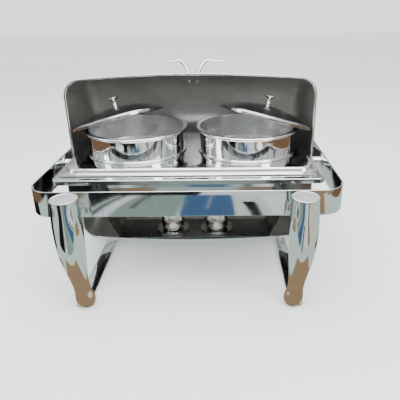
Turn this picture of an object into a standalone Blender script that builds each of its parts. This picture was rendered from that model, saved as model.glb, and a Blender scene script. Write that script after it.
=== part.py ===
"""Roll top chafer for two soup pots.

A rounded steel ring on four horn-shaped legs carries a water pan on a top frame.
A half-drum cover turns on two bolts through the ring's ends.  Two soup pots stand in
a plate over the pan, and two fuel burners stand on a shelf hung below it.
The front faces -Y, left is -X, and the floor is at Z = 0.
"""
import math

import bmesh
import bpy
from mathutils import Matrix, Vector

# ---------------------------------------------------------------- driving sizes, metres
FIT_GAP = 0.0003            # air between two pieces that touch
BOLT_CLEARANCE = 0.0005     # round a bolt in its hole

POT_RIM_RADIUS = 0.1255
POT_RIM_OVERHANG = 0.010    # rolled rim, outside the wall
POT_RIM_HEIGHT = 0.0075
POT_WALL = 0.001
POT_STANDS_UP = 0.060       # rim above the plate
POT_HANGS_DOWN = 0.085      # bottom below the plate
POT_BOTTOM_ROUND = 0.008
POT_COLLAR_WIDTH = 0.006
POT_COLLAR_HEIGHT = 0.004
POT_GAP = 0.022             # between the two rims
POT_HOLE_CLEARANCE = 0.0008

PLATE_SHEET = 0.001
PLATE_RISE = 0.0097         # the plate's top above its flange
PLATE_END_MARGIN = 0.0242   # from a hole to the end of the plate's top
PLATE_FRONT_MARGIN = 0.0267
PLATE_SLOPE = 0.005
PLATE_FLANGE_END = 0.006
PLATE_FLANGE_FRONT = 0.012
PLATE_CORNER = 0.036
FLANGE_CORNER = 0.012       # of the pan's and the plate's flanges

PAN_SHEET = 0.0012
PAN_DEPTH = 0.098
PAN_WALL_INSET_END = 0.016  # from the flange's edge to the wall
PAN_WALL_INSET_FRONT = 0.038
PAN_DRAFT = 3.5             # degrees the walls lean in on their way down
PAN_BOTTOM_ROUND = 0.010

FRAME_SHEET = 0.0012
FRAME_SHOWS_END = 0.008     # frame seen outside the pan's flange
FRAME_SHOWS_FRONT = 0.020
FRAME_LIP = 0.011           # turned-down outer edge
FRAME_SKIRT_ROOM = 0.005    # between the pan's wall and the frame's skirt
FRAME_SKIRT_HEIGHT = 0.040
FRAME_CORNER = 0.014

BRACKET_SHEET = 0.0012
BRACKET_ARM = 0.086
BRACKET_OVER_SHELF = 0.0075  # how far a bracket laps over the shelf's flange
BRACKET_SCREW_HEIGHT = 0.029   # below the frame's top
BRACKET_SCREW_INSETS = (0.038, 0.072)   # from the bracket's end

COVER_SHEET = 0.001
COVER_SIDE_GAP = 0.0018     # between the frame and the cover's side
COVER_ROOM = 0.0398         # from the frame's front edge to the cover's inside
COVER_CORNER = 0.038
COVER_CROWN = 0.011         # the roll is this much flatter at its ends
COVER_RIM_AHEAD = 0.010     # the open side lies this far ahead of the turning axis
COVER_HEM = 0.0048
COVER_HEM_THICK = 0.003

RING_SHEET = 0.003
RING_HEIGHT = 0.057
RING_CORNER = 0.050
RING_COVER_GAP = 0.0074     # between the cover's hem and the ring, front and rear
RING_TOP_ABOVE_AXIS = 0.0218
DRUM_SPACE = 0.0292         # between the cover's side and the ring
FLOOR_GAP = 0.0166          # under the cover's hem
FRAME_ABOVE_RING = 0.0025

BOLT_RADIUS = 0.004
BOLT_HEAD_RADIUS = 0.0105
BOLT_HEAD_HEIGHT = 0.005
NUT_RADIUS = 0.0075
NUT_HEIGHT = 0.005
BOLT_PAST_NUT = 0.001
WASHER_RADIUS = 0.009
WASHER_THICK = 0.0045
DRUM_RADIUS = 0.011
DRUM_FLANGE_RADIUS = 0.0195
DRUM_FLANGE_THICK = 0.0025
SPACER_RADIUS = 0.0085

LEG_FROM_RING_END = 0.0925
LEG_CAP_RADIUS = 0.0274
LEG_SWELL_RADIUS = 0.030
LEG_NECK_RADIUS = 0.0172
LEG_FOOT_RADIUS = 0.0207
LEG_TOE_RADIUS = 0.0160
LEG_SWELL_BELOW_TOP = 0.063
LEG_NECK_HEIGHT = 0.045
LEG_FOOT_HEIGHT = 0.017
LEG_SHEET = 0.0015
LEG_LEAN = 0.0125           # the foot stands inwards by this much, both ways
LEG_LEAN_STARTS = 0.16
LEG_CAP_THICK = 0.002
LEG_CAP_DOME = 0.0015
LEG_CAP_SPIGOT = 0.006
LEG_BOLT_BELOW_TOP = 0.028
LEG_BOLT_RADIUS = 0.003
LEG_BOLT_HEAD_RADIUS = 0.0055
LEG_BOLT_HEAD_HEIGHT = 0.003
LEG_BOLT_REACH = 0.006      # inside the leg

RUNNER_WIDTH = 0.029
RUNNER_SHEET = 0.003
RUNNER_BESIDE_FOOT = 0.009
RUNNER_PAST_FOOT = 0.012
GLIDE_THICK = 0.002
GLIDE_RADIUS = 0.0125
GLIDE_STEM_RADIUS = 0.004
GLIDE_STEM_REACH = 0.006    # into the leg

SHELF_SHEET = 0.0012
SHELF_DEPTH = 0.100
SHELF_HALF_FLOOR = 0.1965
SHELF_SLOPE = 0.0465        # how far each end leans out on its way up
SHELF_BELOW_AXIS = 0.1912
SHELF_SHOULDER_DROP = 0.016  # under the pan's bottom
SHELF_FLANGE_UP = 0.022

BURNER_SPACING = 0.118
CUP_RADIUS = 0.031
CUP_HEIGHT = 0.050
CUP_FOOT_RADIUS = 0.019
CUP_ROUND = 0.014
CUP_SHEET = 0.001
SAUCER_RADIUS = 0.043
SAUCER_SHEET = 0.0012
SAUCER_RIM = 0.004
SNUFFER_OVERHANG = 0.0012
SNUFFER_DOME = 0.006
SNUFFER_SHEET = 0.001
SNUFFER_SKIRT = 0.006
SNUFFER_KNOB_RADIUS = 0.0065
SNUFFER_KNOB_STEM = 0.004    # the knob's radius where it stands on the dome
SNUFFER_KNOB_HEIGHT = 0.011  # above the dome

LID_RADIUS = 0.1172
LID_SHEET = 0.001
LID_BAND = 0.007
LID_DOME = 0.034
LID_BESIDE_BAND = 0.006     # from the lid's edge to the foot of its dome
LID_SLID_OUT = 0.0425       # the lid lies this far out from the pot's middle
LID_SLID_BACK = 0.0206
LID_LEAN_OUT = 0.277        # slopes of the lid's axis
LID_LEAN_BACK = 0.214
LID_REST_GAP = 0.0006       # air where the lid rests on the rim
KNOB_HEIGHT = 0.024
KNOB_CAP_RADIUS = 0.0155
KNOB_CAP_THICK = 0.005
KNOB_STEM_RADIUS = 0.0055
KNOB_FOOT_RADIUS = 0.0085
KNOB_FOOT_THICK = 0.0015

HANDLE_ANGLE = 33.75        # degrees of the roll behind the cover's open edge, on a facet's edge
HANDLE_RISE = 0.060
HANDLE_HALF_SPAN = 0.087
HANDLE_STEM_APART = 0.0105
HANDLE_BEND_OUT = 0.032     # sideways, where the stem has become level
HORN_SWEEP = 0.85           # below 1 the stem leans outwards from its root
HORN_LEVEL_AT = 0.55         # share of its length at which the stem has become level
HORN_SAG = 0.003             # of the level part
HORN_ROOT_RADIUS = 0.0042
HORN_TIP_RADIUS = 0.0014
PAD_LENGTH = 0.046
PAD_WIDTH = 0.020
PAD_THICK = 0.004
SCREW_FROM_PAD_END = 0.0125
SCREW_RADIUS = 0.002
SCREW_HEAD_RADIUS = 0.0042
SCREW_HEAD_HEIGHT = 0.0022

CUTTER_TWIST = 0.07         # radians; keeps a cutter's corners off the pieces' own edges
CIRCLE_STEPS = 32
SMALL_STEPS = 12
LEG_STEPS = 16
CORNER_STEPS = 4
ROLL_STEPS = 16

# ---------------------------------------------------------------- sizes that follow
SIDES = (("left", -1), ("right", 1))
ENDS = (("front", -1), ("rear", 1))

pot_wall_radius = POT_RIM_RADIUS - POT_RIM_OVERHANG
hole_radius = pot_wall_radius + POT_HOLE_CLEARANCE
pot_x = POT_RIM_RADIUS + POT_GAP / 2

plate_top_x = pot_x + hole_radius + PLATE_END_MARGIN
plate_top_y = hole_radius + PLATE_FRONT_MARGIN
plate_x = plate_top_x + PLATE_SLOPE + PLATE_FLANGE_END
plate_y = plate_top_y + PLATE_SLOPE + PLATE_FLANGE_FRONT
pan_wall_x = plate_x - PAN_WALL_INSET_END
pan_wall_y = plate_y - PAN_WALL_INSET_FRONT
frame_x = plate_x + FRAME_SHOWS_END
frame_y = plate_y + FRAME_SHOWS_FRONT
skirt_x = pan_wall_x + FRAME_SKIRT_ROOM + FRAME_SHEET
skirt_y = pan_wall_y + FRAME_SKIRT_ROOM + FRAME_SHEET
bracket_x = skirt_x + FIT_GAP + BRACKET_SHEET
bracket_y = skirt_y + FIT_GAP + BRACKET_SHEET

cover_x = frame_x + COVER_SIDE_GAP + COVER_SHEET
cover_radius = frame_y + COVER_ROOM + COVER_SHEET
hem_x = cover_x - COVER_SHEET + COVER_HEM
hem_radius = cover_radius - COVER_SHEET + COVER_HEM
ring_inner_x = cover_x + DRUM_SPACE
ring_x = ring_inner_x + RING_SHEET
ring_inner_y = hem_radius + RING_COVER_GAP
ring_y = ring_inner_y + RING_SHEET

axis_z = hem_radius + FLOOR_GAP
ring_top = axis_z + RING_TOP_ABOVE_AXIS
ring_low = ring_top - RING_HEIGHT
frame_top = ring_top + FRAME_ABOVE_RING
pan_flange_top = frame_top + FIT_GAP + PAN_SHEET
pan_low = pan_flange_top - PAN_DEPTH
plate_flange_top = pan_flange_top + FIT_GAP + PLATE_SHEET
plate_top = plate_flange_top + PLATE_RISE
pot_rim_z = plate_top + POT_STANDS_UP
skirt_low = frame_top - FRAME_SKIRT_HEIGHT
bracket_top = frame_top - FRAME_SHEET - FIT_GAP
shelf_floor = axis_z - SHELF_BELOW_AXIS
shelf_shoulder = pan_low - SHELF_SHOULDER_DROP
bracket_low = shelf_shoulder + SHELF_FLANGE_UP - BRACKET_OVER_SHELF
shelf_flange_x = bracket_x - BRACKET_SHEET - FIT_GAP
saucer_top = shelf_floor + FIT_GAP + SAUCER_SHEET
cup_low = saucer_top + FIT_GAP

leg_x = ring_x - LEG_FROM_RING_END
runner_low = GLIDE_THICK
runner_top = runner_low + RUNNER_SHEET
leg_low = runner_top + FIT_GAP
leg_top = ring_top - LEG_CAP_THICK - FIT_GAP
foot_x = leg_x - LEG_LEAN


# ---------------------------------------------------------------- making shapes
def material(name, colour, roughness, metallic):
    """A Principled material; the same name gives the same material."""
    found = bpy.data.materials.get(name)
    if found:
        return found
    made = bpy.data.materials.new(name)
    made.use_nodes = True
    shader = made.node_tree.nodes["Principled BSDF"]
    shader.inputs["Base Color"].default_value = (*colour, 1.0)
    shader.inputs["Roughness"].default_value = roughness
    shader.inputs["Metallic"].default_value = metallic
    made.diffuse_color = (*colour, 1.0)
    return made


def mirror_steel():
    return material("mirror_steel", (0.80, 0.81, 0.82), 0.08, 1.0)


def satin_steel():
    return material("satin_steel", (0.36, 0.37, 0.36), 0.32, 1.0)


def dark_steel():
    return material("dark_steel", (0.22, 0.23, 0.23), 0.30, 1.0)


def black_plastic():
    return material("black_plastic", (0.03, 0.03, 0.03), 0.45, 0.0)


def white_nylon():
    return material("white_nylon", (0.85, 0.85, 0.83), 0.40, 0.0)


def place(name, body, surface, location=(0, 0, 0), rotation=None, parent=None, flat=False):
    """Makes one named object from a bmesh."""
    bmesh.ops.remove_doubles(body, verts=body.verts, dist=1e-7)
    bmesh.ops.recalc_face_normals(body, faces=body.faces)
    mesh = bpy.data.meshes.new(name)
    body.to_mesh(mesh)
    body.free()
    if not flat:
        mesh.shade_smooth()
        mesh.set_sharp_from_angle(angle=math.radians(35))
    mesh.materials.append(surface)
    made = bpy.data.objects.new(name, mesh)
    bpy.context.collection.objects.link(made)
    made.location = location
    if rotation is not None:
        made.rotation_euler = rotation
    if parent is not None:
        made.parent = parent
    return made


def empty(name, location, rotation=(0, 0, 0), parent=None):
    made = bpy.data.objects.new(name, None)
    bpy.context.collection.objects.link(made)
    made.location = location
    made.rotation_euler = rotation
    made.parent = parent
    return made


def circle(radius, z, steps=CIRCLE_STEPS, x=0.0, y=0.0):
    """A ring of points at height z."""
    turns = [2 * math.pi * i / steps for i in range(steps)]
    return [Vector((x + radius * math.cos(t), y + radius * math.sin(t), z)) for t in turns]


def rounded(half_x, half_y, corner, z):
    """A rounded rectangle of points at height z."""
    corner = max(corner, 0.001)
    points = []
    for quarter, (sx, sy) in enumerate(((1, 1), (-1, 1), (-1, -1), (1, -1))):
        for i in range(CORNER_STEPS + 1):
            t = math.pi / 2 * (quarter + i / CORNER_STEPS)
            points.append(Vector((
                sx * (half_x - corner) + corner * math.cos(t),
                sy * (half_y - corner) + corner * math.sin(t),
                z)))
    return points


def skin(loops, closed=False):
    """Faces between neighbouring loops; the end loops are filled, or meet when closed."""
    body = bmesh.new()
    rows = [[body.verts.new(p) for p in loop] for loop in loops]
    pairs = list(zip(rows, rows[1:]))
    if closed:
        pairs.append((rows[-1], rows[0]))
    for low, high in pairs:
        for i in range(len(low)):
            j = (i + 1) % len(low)
            body.faces.new((low[i], low[j], high[j], high[i]))
    if not closed:
        body.faces.new(rows[0])
        body.faces.new(list(reversed(rows[-1])))
    return body


def turned(profile, steps=SMALL_STEPS, closed=False):
    """A solid turned about Z from (radius, height) points."""
    return skin([circle(r, z, steps) for r, z in profile], closed)


def tube(inner, outer, low, high, steps=SMALL_STEPS):
    return turned(((inner, low), (outer, low), (outer, high), (inner, high)), steps, closed=True)


def extruded(outline, direction):
    """A flat outline pulled along a direction."""
    body = bmesh.new()
    near = [body.verts.new(p) for p in outline]
    far = [body.verts.new(Vector(p) + Vector(direction)) for p in outline]
    body.faces.new(near)
    body.faces.new(list(reversed(far)))
    for i in range(len(near)):
        j = (i + 1) % len(near)
        body.faces.new((near[i], far[i], far[j], near[j]))
    return body


def arc(x, z, radius, start, end, steps=5):
    """Points (x, z) on an arc, angles in degrees."""
    points = []
    for i in range(steps + 1):
        t = math.radians(start + (end - start) * i / steps)
        points.append((x + radius * math.cos(t), z + radius * math.sin(t)))
    return points


def ease(t):
    return (1 - math.cos(math.pi * t)) / 2


def cutter(name, radius, start, end, steps=SMALL_STEPS):
    """A hidden cylinder from start to end."""
    start, end = Vector(start), Vector(end)
    way = end - start
    body = skin([circle(radius, 0, steps), circle(radius, way.length, steps)])
    bmesh.ops.rotate(body, verts=body.verts, cent=(0, 0, 0),
                     matrix=Matrix.Rotation(CUTTER_TWIST, 3, "Z"))
    made = place(name, body, black_plastic(), start, way.to_track_quat("Z", "Y").to_euler())
    made.hide_render = True
    made.display_type = "WIRE"
    return made


def cut(target, tool):
    """A hole in target where tool is."""
    step = target.modifiers.new(tool.name, "BOOLEAN")
    step.operation = "DIFFERENCE"
    step.object = tool


# ---------------------------------------------------------------- holes
def pivot_cutters():
    """The two holes that the cover's pivot bolts pass through."""
    return {side: cutter("cut_pivot_" + side, BOLT_RADIUS + BOLT_CLEARANCE,
                         (way * (ring_x + 0.01), 0, axis_z),
                         (way * (pan_wall_x + 0.001), 0, axis_z))
            for side, way in SIDES}


def leg_bolt_z():
    return ring_top - LEG_BOLT_BELOW_TOP


def leg_bolt_cutters():
    cutters = {}
    for side, sx in SIDES:
        for end, sy in ENDS:
            cutters[end + "_" + side] = cutter(
                "cut_leg_bolt_" + end + "_" + side, LEG_BOLT_RADIUS + BOLT_CLEARANCE,
                (sx * leg_x, sy * (ring_inner_y - 0.01), leg_bolt_z()),
                (sx * leg_x, sy * leg_y, leg_bolt_z()))
    return cutters


def bracket_screw_places():
    """Front screws: name, x and z."""
    z = frame_top - BRACKET_SCREW_HEIGHT
    return [("%s_%d" % (side, number + 1), sx * (bracket_x - inset), z)
            for side, sx in SIDES for number, inset in enumerate(BRACKET_SCREW_INSETS)]


def bracket_screw_cutters():
    return [cutter("cut_bracket_screw_" + name, SCREW_RADIUS + BOLT_CLEARANCE,
                   (x, -(bracket_y + 0.01), z), (x, -(skirt_y - FRAME_SHEET - 0.002), z))
            for name, x, z in bracket_screw_places()]


# ---------------------------------------------------------------- ring, legs, runners
def ring_band(pivots, leg_bolts):
    """The flat strip, bent to a rounded rectangle, that is also the two carrying handles."""
    inner_corner = RING_CORNER - RING_SHEET
    body = skin([rounded(ring_inner_x, ring_inner_y, inner_corner, ring_low),
                 rounded(ring_x, ring_y, RING_CORNER, ring_low),
                 rounded(ring_x, ring_y, RING_CORNER, ring_top),
                 rounded(ring_inner_x, ring_inner_y, inner_corner, ring_top)], closed=True)
    band = place("ring_band", body, mirror_steel())
    for tool in [*pivots.values(), *leg_bolts.values()]:
        cut(band, tool)


def leg_radius(z):
    """The horn's outer radius at height z."""
    stations = ((leg_low, LEG_TOE_RADIUS), (LEG_FOOT_HEIGHT, LEG_FOOT_RADIUS),
                (LEG_NECK_HEIGHT, LEG_NECK_RADIUS),
                (ring_top - LEG_SWELL_BELOW_TOP, LEG_SWELL_RADIUS), (leg_top, LEG_CAP_RADIUS))
    for (low, start), (high, end) in zip(stations, stations[1:]):
        if z <= high:
            t = (z - low) / (high - low)
            if low == LEG_NECK_HEIGHT:
                t = 1 - (1 - t) ** 1.3
            if low == leg_low:
                return start + (end - start) * math.sin(math.pi / 2 * t)
            return start + (end - start) * ease(t)
    return LEG_CAP_RADIUS


# The widest part of a leg beside the ring is level with the ring's lower edge.
leg_y = ring_y + leg_radius(ring_low) + FIT_GAP
foot_y = leg_y - LEG_LEAN


def leg_shift(z):
    """How far the horn's centre line stands inwards at height z."""
    if z >= LEG_LEAN_STARTS:
        return 0.0
    return LEG_LEAN * (1 - z / LEG_LEAN_STARTS) ** 1.5


def leg_loop(z, sx, sy, inset):
    shift = leg_shift(z)
    return circle(leg_radius(z) - inset, z, LEG_STEPS,
                  sx * (leg_x - shift), sy * (leg_y - shift))


def legs(leg_bolts):
    """Four tapered horns, open tubes of sheet, each bolted to the ring from inside."""
    heights = [leg_low, (leg_low + LEG_FOOT_HEIGHT) / 2, LEG_FOOT_HEIGHT]
    heights += [LEG_FOOT_HEIGHT + (LEG_NECK_HEIGHT - LEG_FOOT_HEIGHT) * t for t in (0.5, 1.0)]
    swell = ring_top - LEG_SWELL_BELOW_TOP
    heights += [LEG_NECK_HEIGHT + (swell - LEG_NECK_HEIGHT) * i / 5 for i in range(1, 6)]
    heights += [ring_low, leg_top]
    for side, sx in SIDES:
        for end, sy in ENDS:
            where = end + "_" + side
            outside = [leg_loop(z, sx, sy, 0) for z in heights]
            inside = [leg_loop(z, sx, sy, LEG_SHEET) for z in reversed(heights)]
            leg = place("leg_" + where, skin(outside + inside, closed=True), mirror_steel())
            cut(leg, leg_bolts[where])
            leg_cap(where, sx, sy)
            leg_bolt(where, sx, sy)
            foot_glide(where, sx, sy)


def leg_cap(where, sx, sy):
    spigot = LEG_CAP_RADIUS - LEG_SHEET - FIT_GAP
    low = leg_top + FIT_GAP
    body = turned(((spigot - 0.001, low - LEG_CAP_SPIGOT), (spigot, low - LEG_CAP_SPIGOT + 0.001),
                   (spigot, low), (LEG_CAP_RADIUS, low),
                   (LEG_CAP_RADIUS, low + LEG_CAP_THICK - 0.0006),
                   (LEG_CAP_RADIUS - 0.0006, low + LEG_CAP_THICK),
                   (LEG_CAP_RADIUS * 0.6, low + LEG_CAP_THICK + LEG_CAP_DOME * 0.75),
                   (LEG_CAP_RADIUS * 0.15, low + LEG_CAP_THICK + LEG_CAP_DOME)), LEG_STEPS)
    place("leg_cap_" + where, body, mirror_steel(), (sx * leg_x, sy * leg_y, 0))


def leg_bolt(where, sx, sy):
    """Its head is inside the ring and its shank points outwards into the leg."""
    head = LEG_BOLT_HEAD_RADIUS
    wall = leg_y - leg_radius(leg_bolt_z()) + LEG_SHEET
    reach = wall - ring_inner_y + LEG_BOLT_REACH
    body = turned(((head * 0.6, -LEG_BOLT_HEAD_HEIGHT), (head, -LEG_BOLT_HEAD_HEIGHT * 0.4),
                   (head, 0), (LEG_BOLT_RADIUS, 0), (LEG_BOLT_RADIUS, reach)), SMALL_STEPS)
    place("leg_bolt_" + where, body, mirror_steel(),
          (sx * leg_x, sy * (ring_inner_y - FIT_GAP), leg_bolt_z()),
          (-sy * math.pi / 2, 0, 0))


def foot_glide(where, sx, sy):
    stem = GLIDE_STEM_RADIUS
    body = turned(((GLIDE_RADIUS - 0.001, 0), (GLIDE_RADIUS, 0.0006),
                   (GLIDE_RADIUS, GLIDE_THICK - FIT_GAP), (stem, GLIDE_THICK - FIT_GAP),
                   (stem, leg_low + GLIDE_STEM_REACH)), SMALL_STEPS)
    place("foot_glide_" + where, body, black_plastic(), (sx * foot_x, sy * foot_y, 0))


def runners():
    """A flat strip on each side of the floor, clamped under the front and rear foot."""
    reach = foot_y + RUNNER_PAST_FOOT
    half = RUNNER_WIDTH / 2
    for side, sx in SIDES:
        body = skin([rounded(half, reach, half * 0.6, runner_low),
                     rounded(half, reach, half * 0.6, runner_top)])
        strip = place("runner_" + side, body, mirror_steel(),
                      (sx * (foot_x + RUNNER_BESIDE_FOOT), 0, 0))
        for end, sy in ENDS:
            cut(strip, cutter("cut_runner_%s_%s" % (end, side),
                              GLIDE_STEM_RADIUS + BOLT_CLEARANCE,
                              (sx * foot_x, sy * foot_y, runner_low - 0.01),
                              (sx * foot_x, sy * foot_y, runner_top + 0.01)))


# ---------------------------------------------------------------- pivots
def pivot_hardware():
    """From outside: bolt head, ring, flanged drum, washer, cover, spacer, bracket, nut."""
    bore = BOLT_RADIUS + BOLT_CLEARANCE
    washer_start = cover_x + FIT_GAP
    drum_start = washer_start + WASHER_THICK + FIT_GAP
    drum_end = ring_inner_x - FIT_GAP
    spacer_start = bracket_x + FIT_GAP
    spacer_end = cover_x - COVER_SHEET - FIT_GAP
    nut_end = skirt_x - FRAME_SHEET - FIT_GAP
    bolt_start = nut_end - NUT_HEIGHT - BOLT_PAST_NUT
    head = ring_x + FIT_GAP
    for side, sx in SIDES:
        at = (0, 0, axis_z)
        turn = (0, sx * math.pi / 2, 0)
        place("pivot_washer_" + side, tube(bore, WASHER_RADIUS, washer_start,
                                           washer_start + WASHER_THICK),
              white_nylon(), at, turn)
        drum = turned(((bore, drum_start), (DRUM_RADIUS, drum_start),
                       (DRUM_RADIUS, drum_end - DRUM_FLANGE_THICK),
                       (DRUM_FLANGE_RADIUS, drum_end - DRUM_FLANGE_THICK),
                       (DRUM_FLANGE_RADIUS, drum_end), (bore, drum_end)), LEG_STEPS, closed=True)
        place("pivot_drum_" + side, drum, mirror_steel(), at, turn)
        place("pivot_spacer_" + side, tube(bore, SPACER_RADIUS, spacer_start, spacer_end),
              white_nylon(), at, turn)
        bore_corner = bore / math.cos(math.pi / 6)
        place("pivot_nut_" + side, tube(bore_corner, NUT_RADIUS, nut_end - NUT_HEIGHT,
                                        nut_end, 6),
              mirror_steel(), at, turn, flat=True)
        bolt = turned(((BOLT_RADIUS, bolt_start), (BOLT_RADIUS, head), (BOLT_HEAD_RADIUS, head),
                       (BOLT_HEAD_RADIUS, head + BOLT_HEAD_HEIGHT * 0.3),
                       (BOLT_HEAD_RADIUS * 0.8, head + BOLT_HEAD_HEIGHT * 0.75),
                       (BOLT_HEAD_RADIUS * 0.4, head + BOLT_HEAD_HEIGHT)), SMALL_STEPS)
        place("pivot_bolt_" + side, bolt, mirror_steel(), at, turn)


# ---------------------------------------------------------------- frame, brackets, shelf
def top_frame(pivots, screws):
    """A flat rim with a turned-down outer edge and a skirt inside; the pan drops into it."""
    def loop(half_x, half_y, z):
        return rounded(half_x, half_y, FRAME_CORNER - (frame_x - half_x), z)
    sheet = FRAME_SHEET
    lip = frame_top - FRAME_LIP
    body = skin([loop(frame_x, frame_y, lip),
                 loop(frame_x, frame_y, frame_top - 0.002),
                 loop(frame_x - 0.002, frame_y - 0.002, frame_top),
                 loop(skirt_x - sheet, skirt_y - sheet, frame_top),
                 loop(skirt_x - sheet, skirt_y - sheet, skirt_low),
                 loop(skirt_x, skirt_y, skirt_low),
                 loop(skirt_x, skirt_y, frame_top - sheet),
                 loop(frame_x - 0.002 - sheet / 2, frame_y - 0.002 - sheet / 2,
                      frame_top - sheet),
                 loop(frame_x - sheet, frame_y - sheet, frame_top - 0.002 - sheet / 2),
                 loop(frame_x - sheet, frame_y - sheet, lip)], closed=True)
    frame = place("top_frame", body, mirror_steel())
    for tool in [*pivots.values(), *screws]:
        cut(frame, tool)


def end_brackets(pivots, screws):
    """Channels that hang the frame, the pan and the shelf on the pivot bolts."""
    sheet = BRACKET_SHEET
    for side, sx in SIDES:
        inner = bracket_x - BRACKET_ARM
        plan = ((inner, bracket_y), (bracket_x, bracket_y), (bracket_x, -bracket_y),
                (inner, -bracket_y), (inner, sheet - bracket_y),
                (bracket_x - sheet, sheet - bracket_y),
                (bracket_x - sheet, bracket_y - sheet), (inner, bracket_y - sheet))
        outline = [Vector((sx * x, y, bracket_low)) for x, y in plan]
        body = extruded(outline, (0, 0, bracket_top - bracket_low))
        bracket = place("end_bracket_" + side, body, dark_steel(), flat=True)
        cut(bracket, pivots[side])
        for tool in screws:
            if side in tool.name:
                cut(bracket, tool)


def bracket_screws():
    head = SCREW_HEAD_RADIUS
    reach = BRACKET_SHEET + FIT_GAP + FRAME_SHEET + 0.0015
    for name, x, z in bracket_screw_places():
        body = turned(((head * 0.5, -SCREW_HEAD_HEIGHT), (head * 0.9, -SCREW_HEAD_HEIGHT * 0.6),
                       (head, 0), (SCREW_RADIUS, 0), (SCREW_RADIUS, FIT_GAP + reach)))
        place("bracket_screw_" + name, body, mirror_steel(),
              (x, -(bracket_y + FIT_GAP), z), (-math.pi / 2, 0, 0))


def fuel_shelf():
    """A strip bent to a trough, hung from the end brackets; both burners stand on it."""
    sheet = SHELF_SHEET
    knee = SHELF_HALF_FLOOR + SHELF_SLOPE
    path = ((-shelf_flange_x, shelf_shoulder + SHELF_FLANGE_UP), (-shelf_flange_x, shelf_shoulder),
            (-knee, shelf_shoulder), (-SHELF_HALF_FLOOR, shelf_floor),
            (SHELF_HALF_FLOOR, shelf_floor), (knee, shelf_shoulder),
            (shelf_flange_x, shelf_shoulder), (shelf_flange_x, shelf_shoulder + SHELF_FLANGE_UP))
    lean = math.atan2(SHELF_SLOPE, shelf_shoulder - shelf_floor)
    slant = sheet * math.tan((math.pi / 2 - lean) / 2)
    inner = [(-shelf_flange_x + sheet, path[0][1]), (-shelf_flange_x + sheet, shelf_shoulder),
             (-knee + slant, shelf_shoulder), (-SHELF_HALF_FLOOR + slant, shelf_floor)]
    inner += [(-x, z) for x, z in reversed(inner)]
    outer = [(x, z - sheet) if abs(x) < shelf_flange_x or z < path[0][1] else (x, z)
             for x, z in path]
    front = -SHELF_DEPTH / 2
    outline = [Vector((x, front, z)) for x, z in outer + list(reversed(inner))]
    place("fuel_shelf", extruded(outline, (0, SHELF_DEPTH, 0)), dark_steel(), flat=True)


# ---------------------------------------------------------------- burners
def burners():
    """A saucer, a round cup for fuel gel and a domed snuffer on it, left and right."""
    for side, sx in SIDES:
        x = sx * BURNER_SPACING / 2
        rim = SAUCER_RADIUS
        low = shelf_floor + FIT_GAP
        saucer = turned(((rim * 0.2, low), (rim - 0.001, low), (rim, low + SAUCER_RIM),
                         (rim - SAUCER_SHEET, low + SAUCER_RIM),
                         (rim - 0.001 - SAUCER_SHEET, saucer_top), (rim * 0.2, saucer_top)), 24)
        place("burner_saucer_" + side, saucer, mirror_steel(), (x, 0, 0))
        outer = arc(CUP_RADIUS - CUP_ROUND, CUP_ROUND, CUP_ROUND, -90, 0, 3)
        wall = [(CUP_FOOT_RADIUS * 0.3, 0), *outer, (CUP_RADIUS, CUP_HEIGHT)]
        inside = [(CUP_RADIUS - CUP_SHEET, CUP_HEIGHT)]
        inside += arc(CUP_RADIUS - CUP_ROUND, CUP_ROUND, CUP_ROUND - CUP_SHEET, 0, -90, 3)
        inside += [(CUP_FOOT_RADIUS * 0.3, CUP_SHEET)]
        place("burner_cup_" + side, turned(wall + inside, 20), mirror_steel(), (x, 0, cup_low))
        edge = CUP_RADIUS + FIT_GAP + SNUFFER_OVERHANG
        top = CUP_HEIGHT + FIT_GAP
        knob_top = top + SNUFFER_DOME + SNUFFER_KNOB_HEIGHT
        lid = turned(((edge * 0.1, top), (CUP_RADIUS + FIT_GAP, top),
                      (CUP_RADIUS + FIT_GAP, top - SNUFFER_SKIRT), (edge, top - SNUFFER_SKIRT),
                      (edge, top + SNUFFER_SHEET),
                      (edge * 0.6, top + SNUFFER_SHEET + SNUFFER_DOME * 0.75),
                      (SNUFFER_KNOB_STEM, top + SNUFFER_SHEET + SNUFFER_DOME),
                      (SNUFFER_KNOB_STEM, knob_top - SNUFFER_KNOB_HEIGHT * 0.65),
                      (SNUFFER_KNOB_RADIUS, knob_top - SNUFFER_KNOB_HEIGHT * 0.55),
                      (SNUFFER_KNOB_RADIUS, knob_top - SNUFFER_KNOB_HEIGHT * 0.2),
                      (SNUFFER_KNOB_RADIUS * 0.46, knob_top)),
                     20)
        place("burner_snuffer_" + side, lid, mirror_steel(), (x, 0, cup_low))


# ---------------------------------------------------------------- pan and plate
def water_pan():
    """A pressed pan whose flange lies on the frame."""
    def loop(half_x, half_y, corner, z):
        return rounded(half_x, half_y, corner, z)
    sheet = PAN_SHEET
    top = pan_flange_top
    corner = PLATE_CORNER - PLATE_SLOPE
    wall_x, wall_y = pan_wall_x, pan_wall_y
    taper = math.tan(math.radians(PAN_DRAFT)) * PAN_DEPTH
    low_x, low_y = wall_x - taper, wall_y - taper
    round_off = PAN_BOTTOM_ROUND
    body = skin([loop(low_x - round_off - sheet, low_y - round_off - sheet, corner - sheet,
                      pan_low + sheet),
                 loop(low_x - round_off * 0.3 - sheet, low_y - round_off * 0.3 - sheet,
                      corner - sheet, pan_low + sheet + round_off * 0.3),
                 loop(low_x - sheet, low_y - sheet, corner - sheet, pan_low + round_off),
                 loop(wall_x - sheet, wall_y - sheet, corner - sheet, top),
                 loop(plate_x, plate_y, FLANGE_CORNER, top),
                 loop(plate_x, plate_y, FLANGE_CORNER, top - sheet),
                 loop(wall_x, wall_y, corner, top - sheet),
                 loop(low_x, low_y, corner, pan_low + round_off),
                 loop(low_x - round_off * 0.3, low_y - round_off * 0.3, corner,
                      pan_low + round_off * 0.3),
                 loop(low_x - round_off, low_y - round_off, corner, pan_low)])
    place("water_pan", body, satin_steel())


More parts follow.
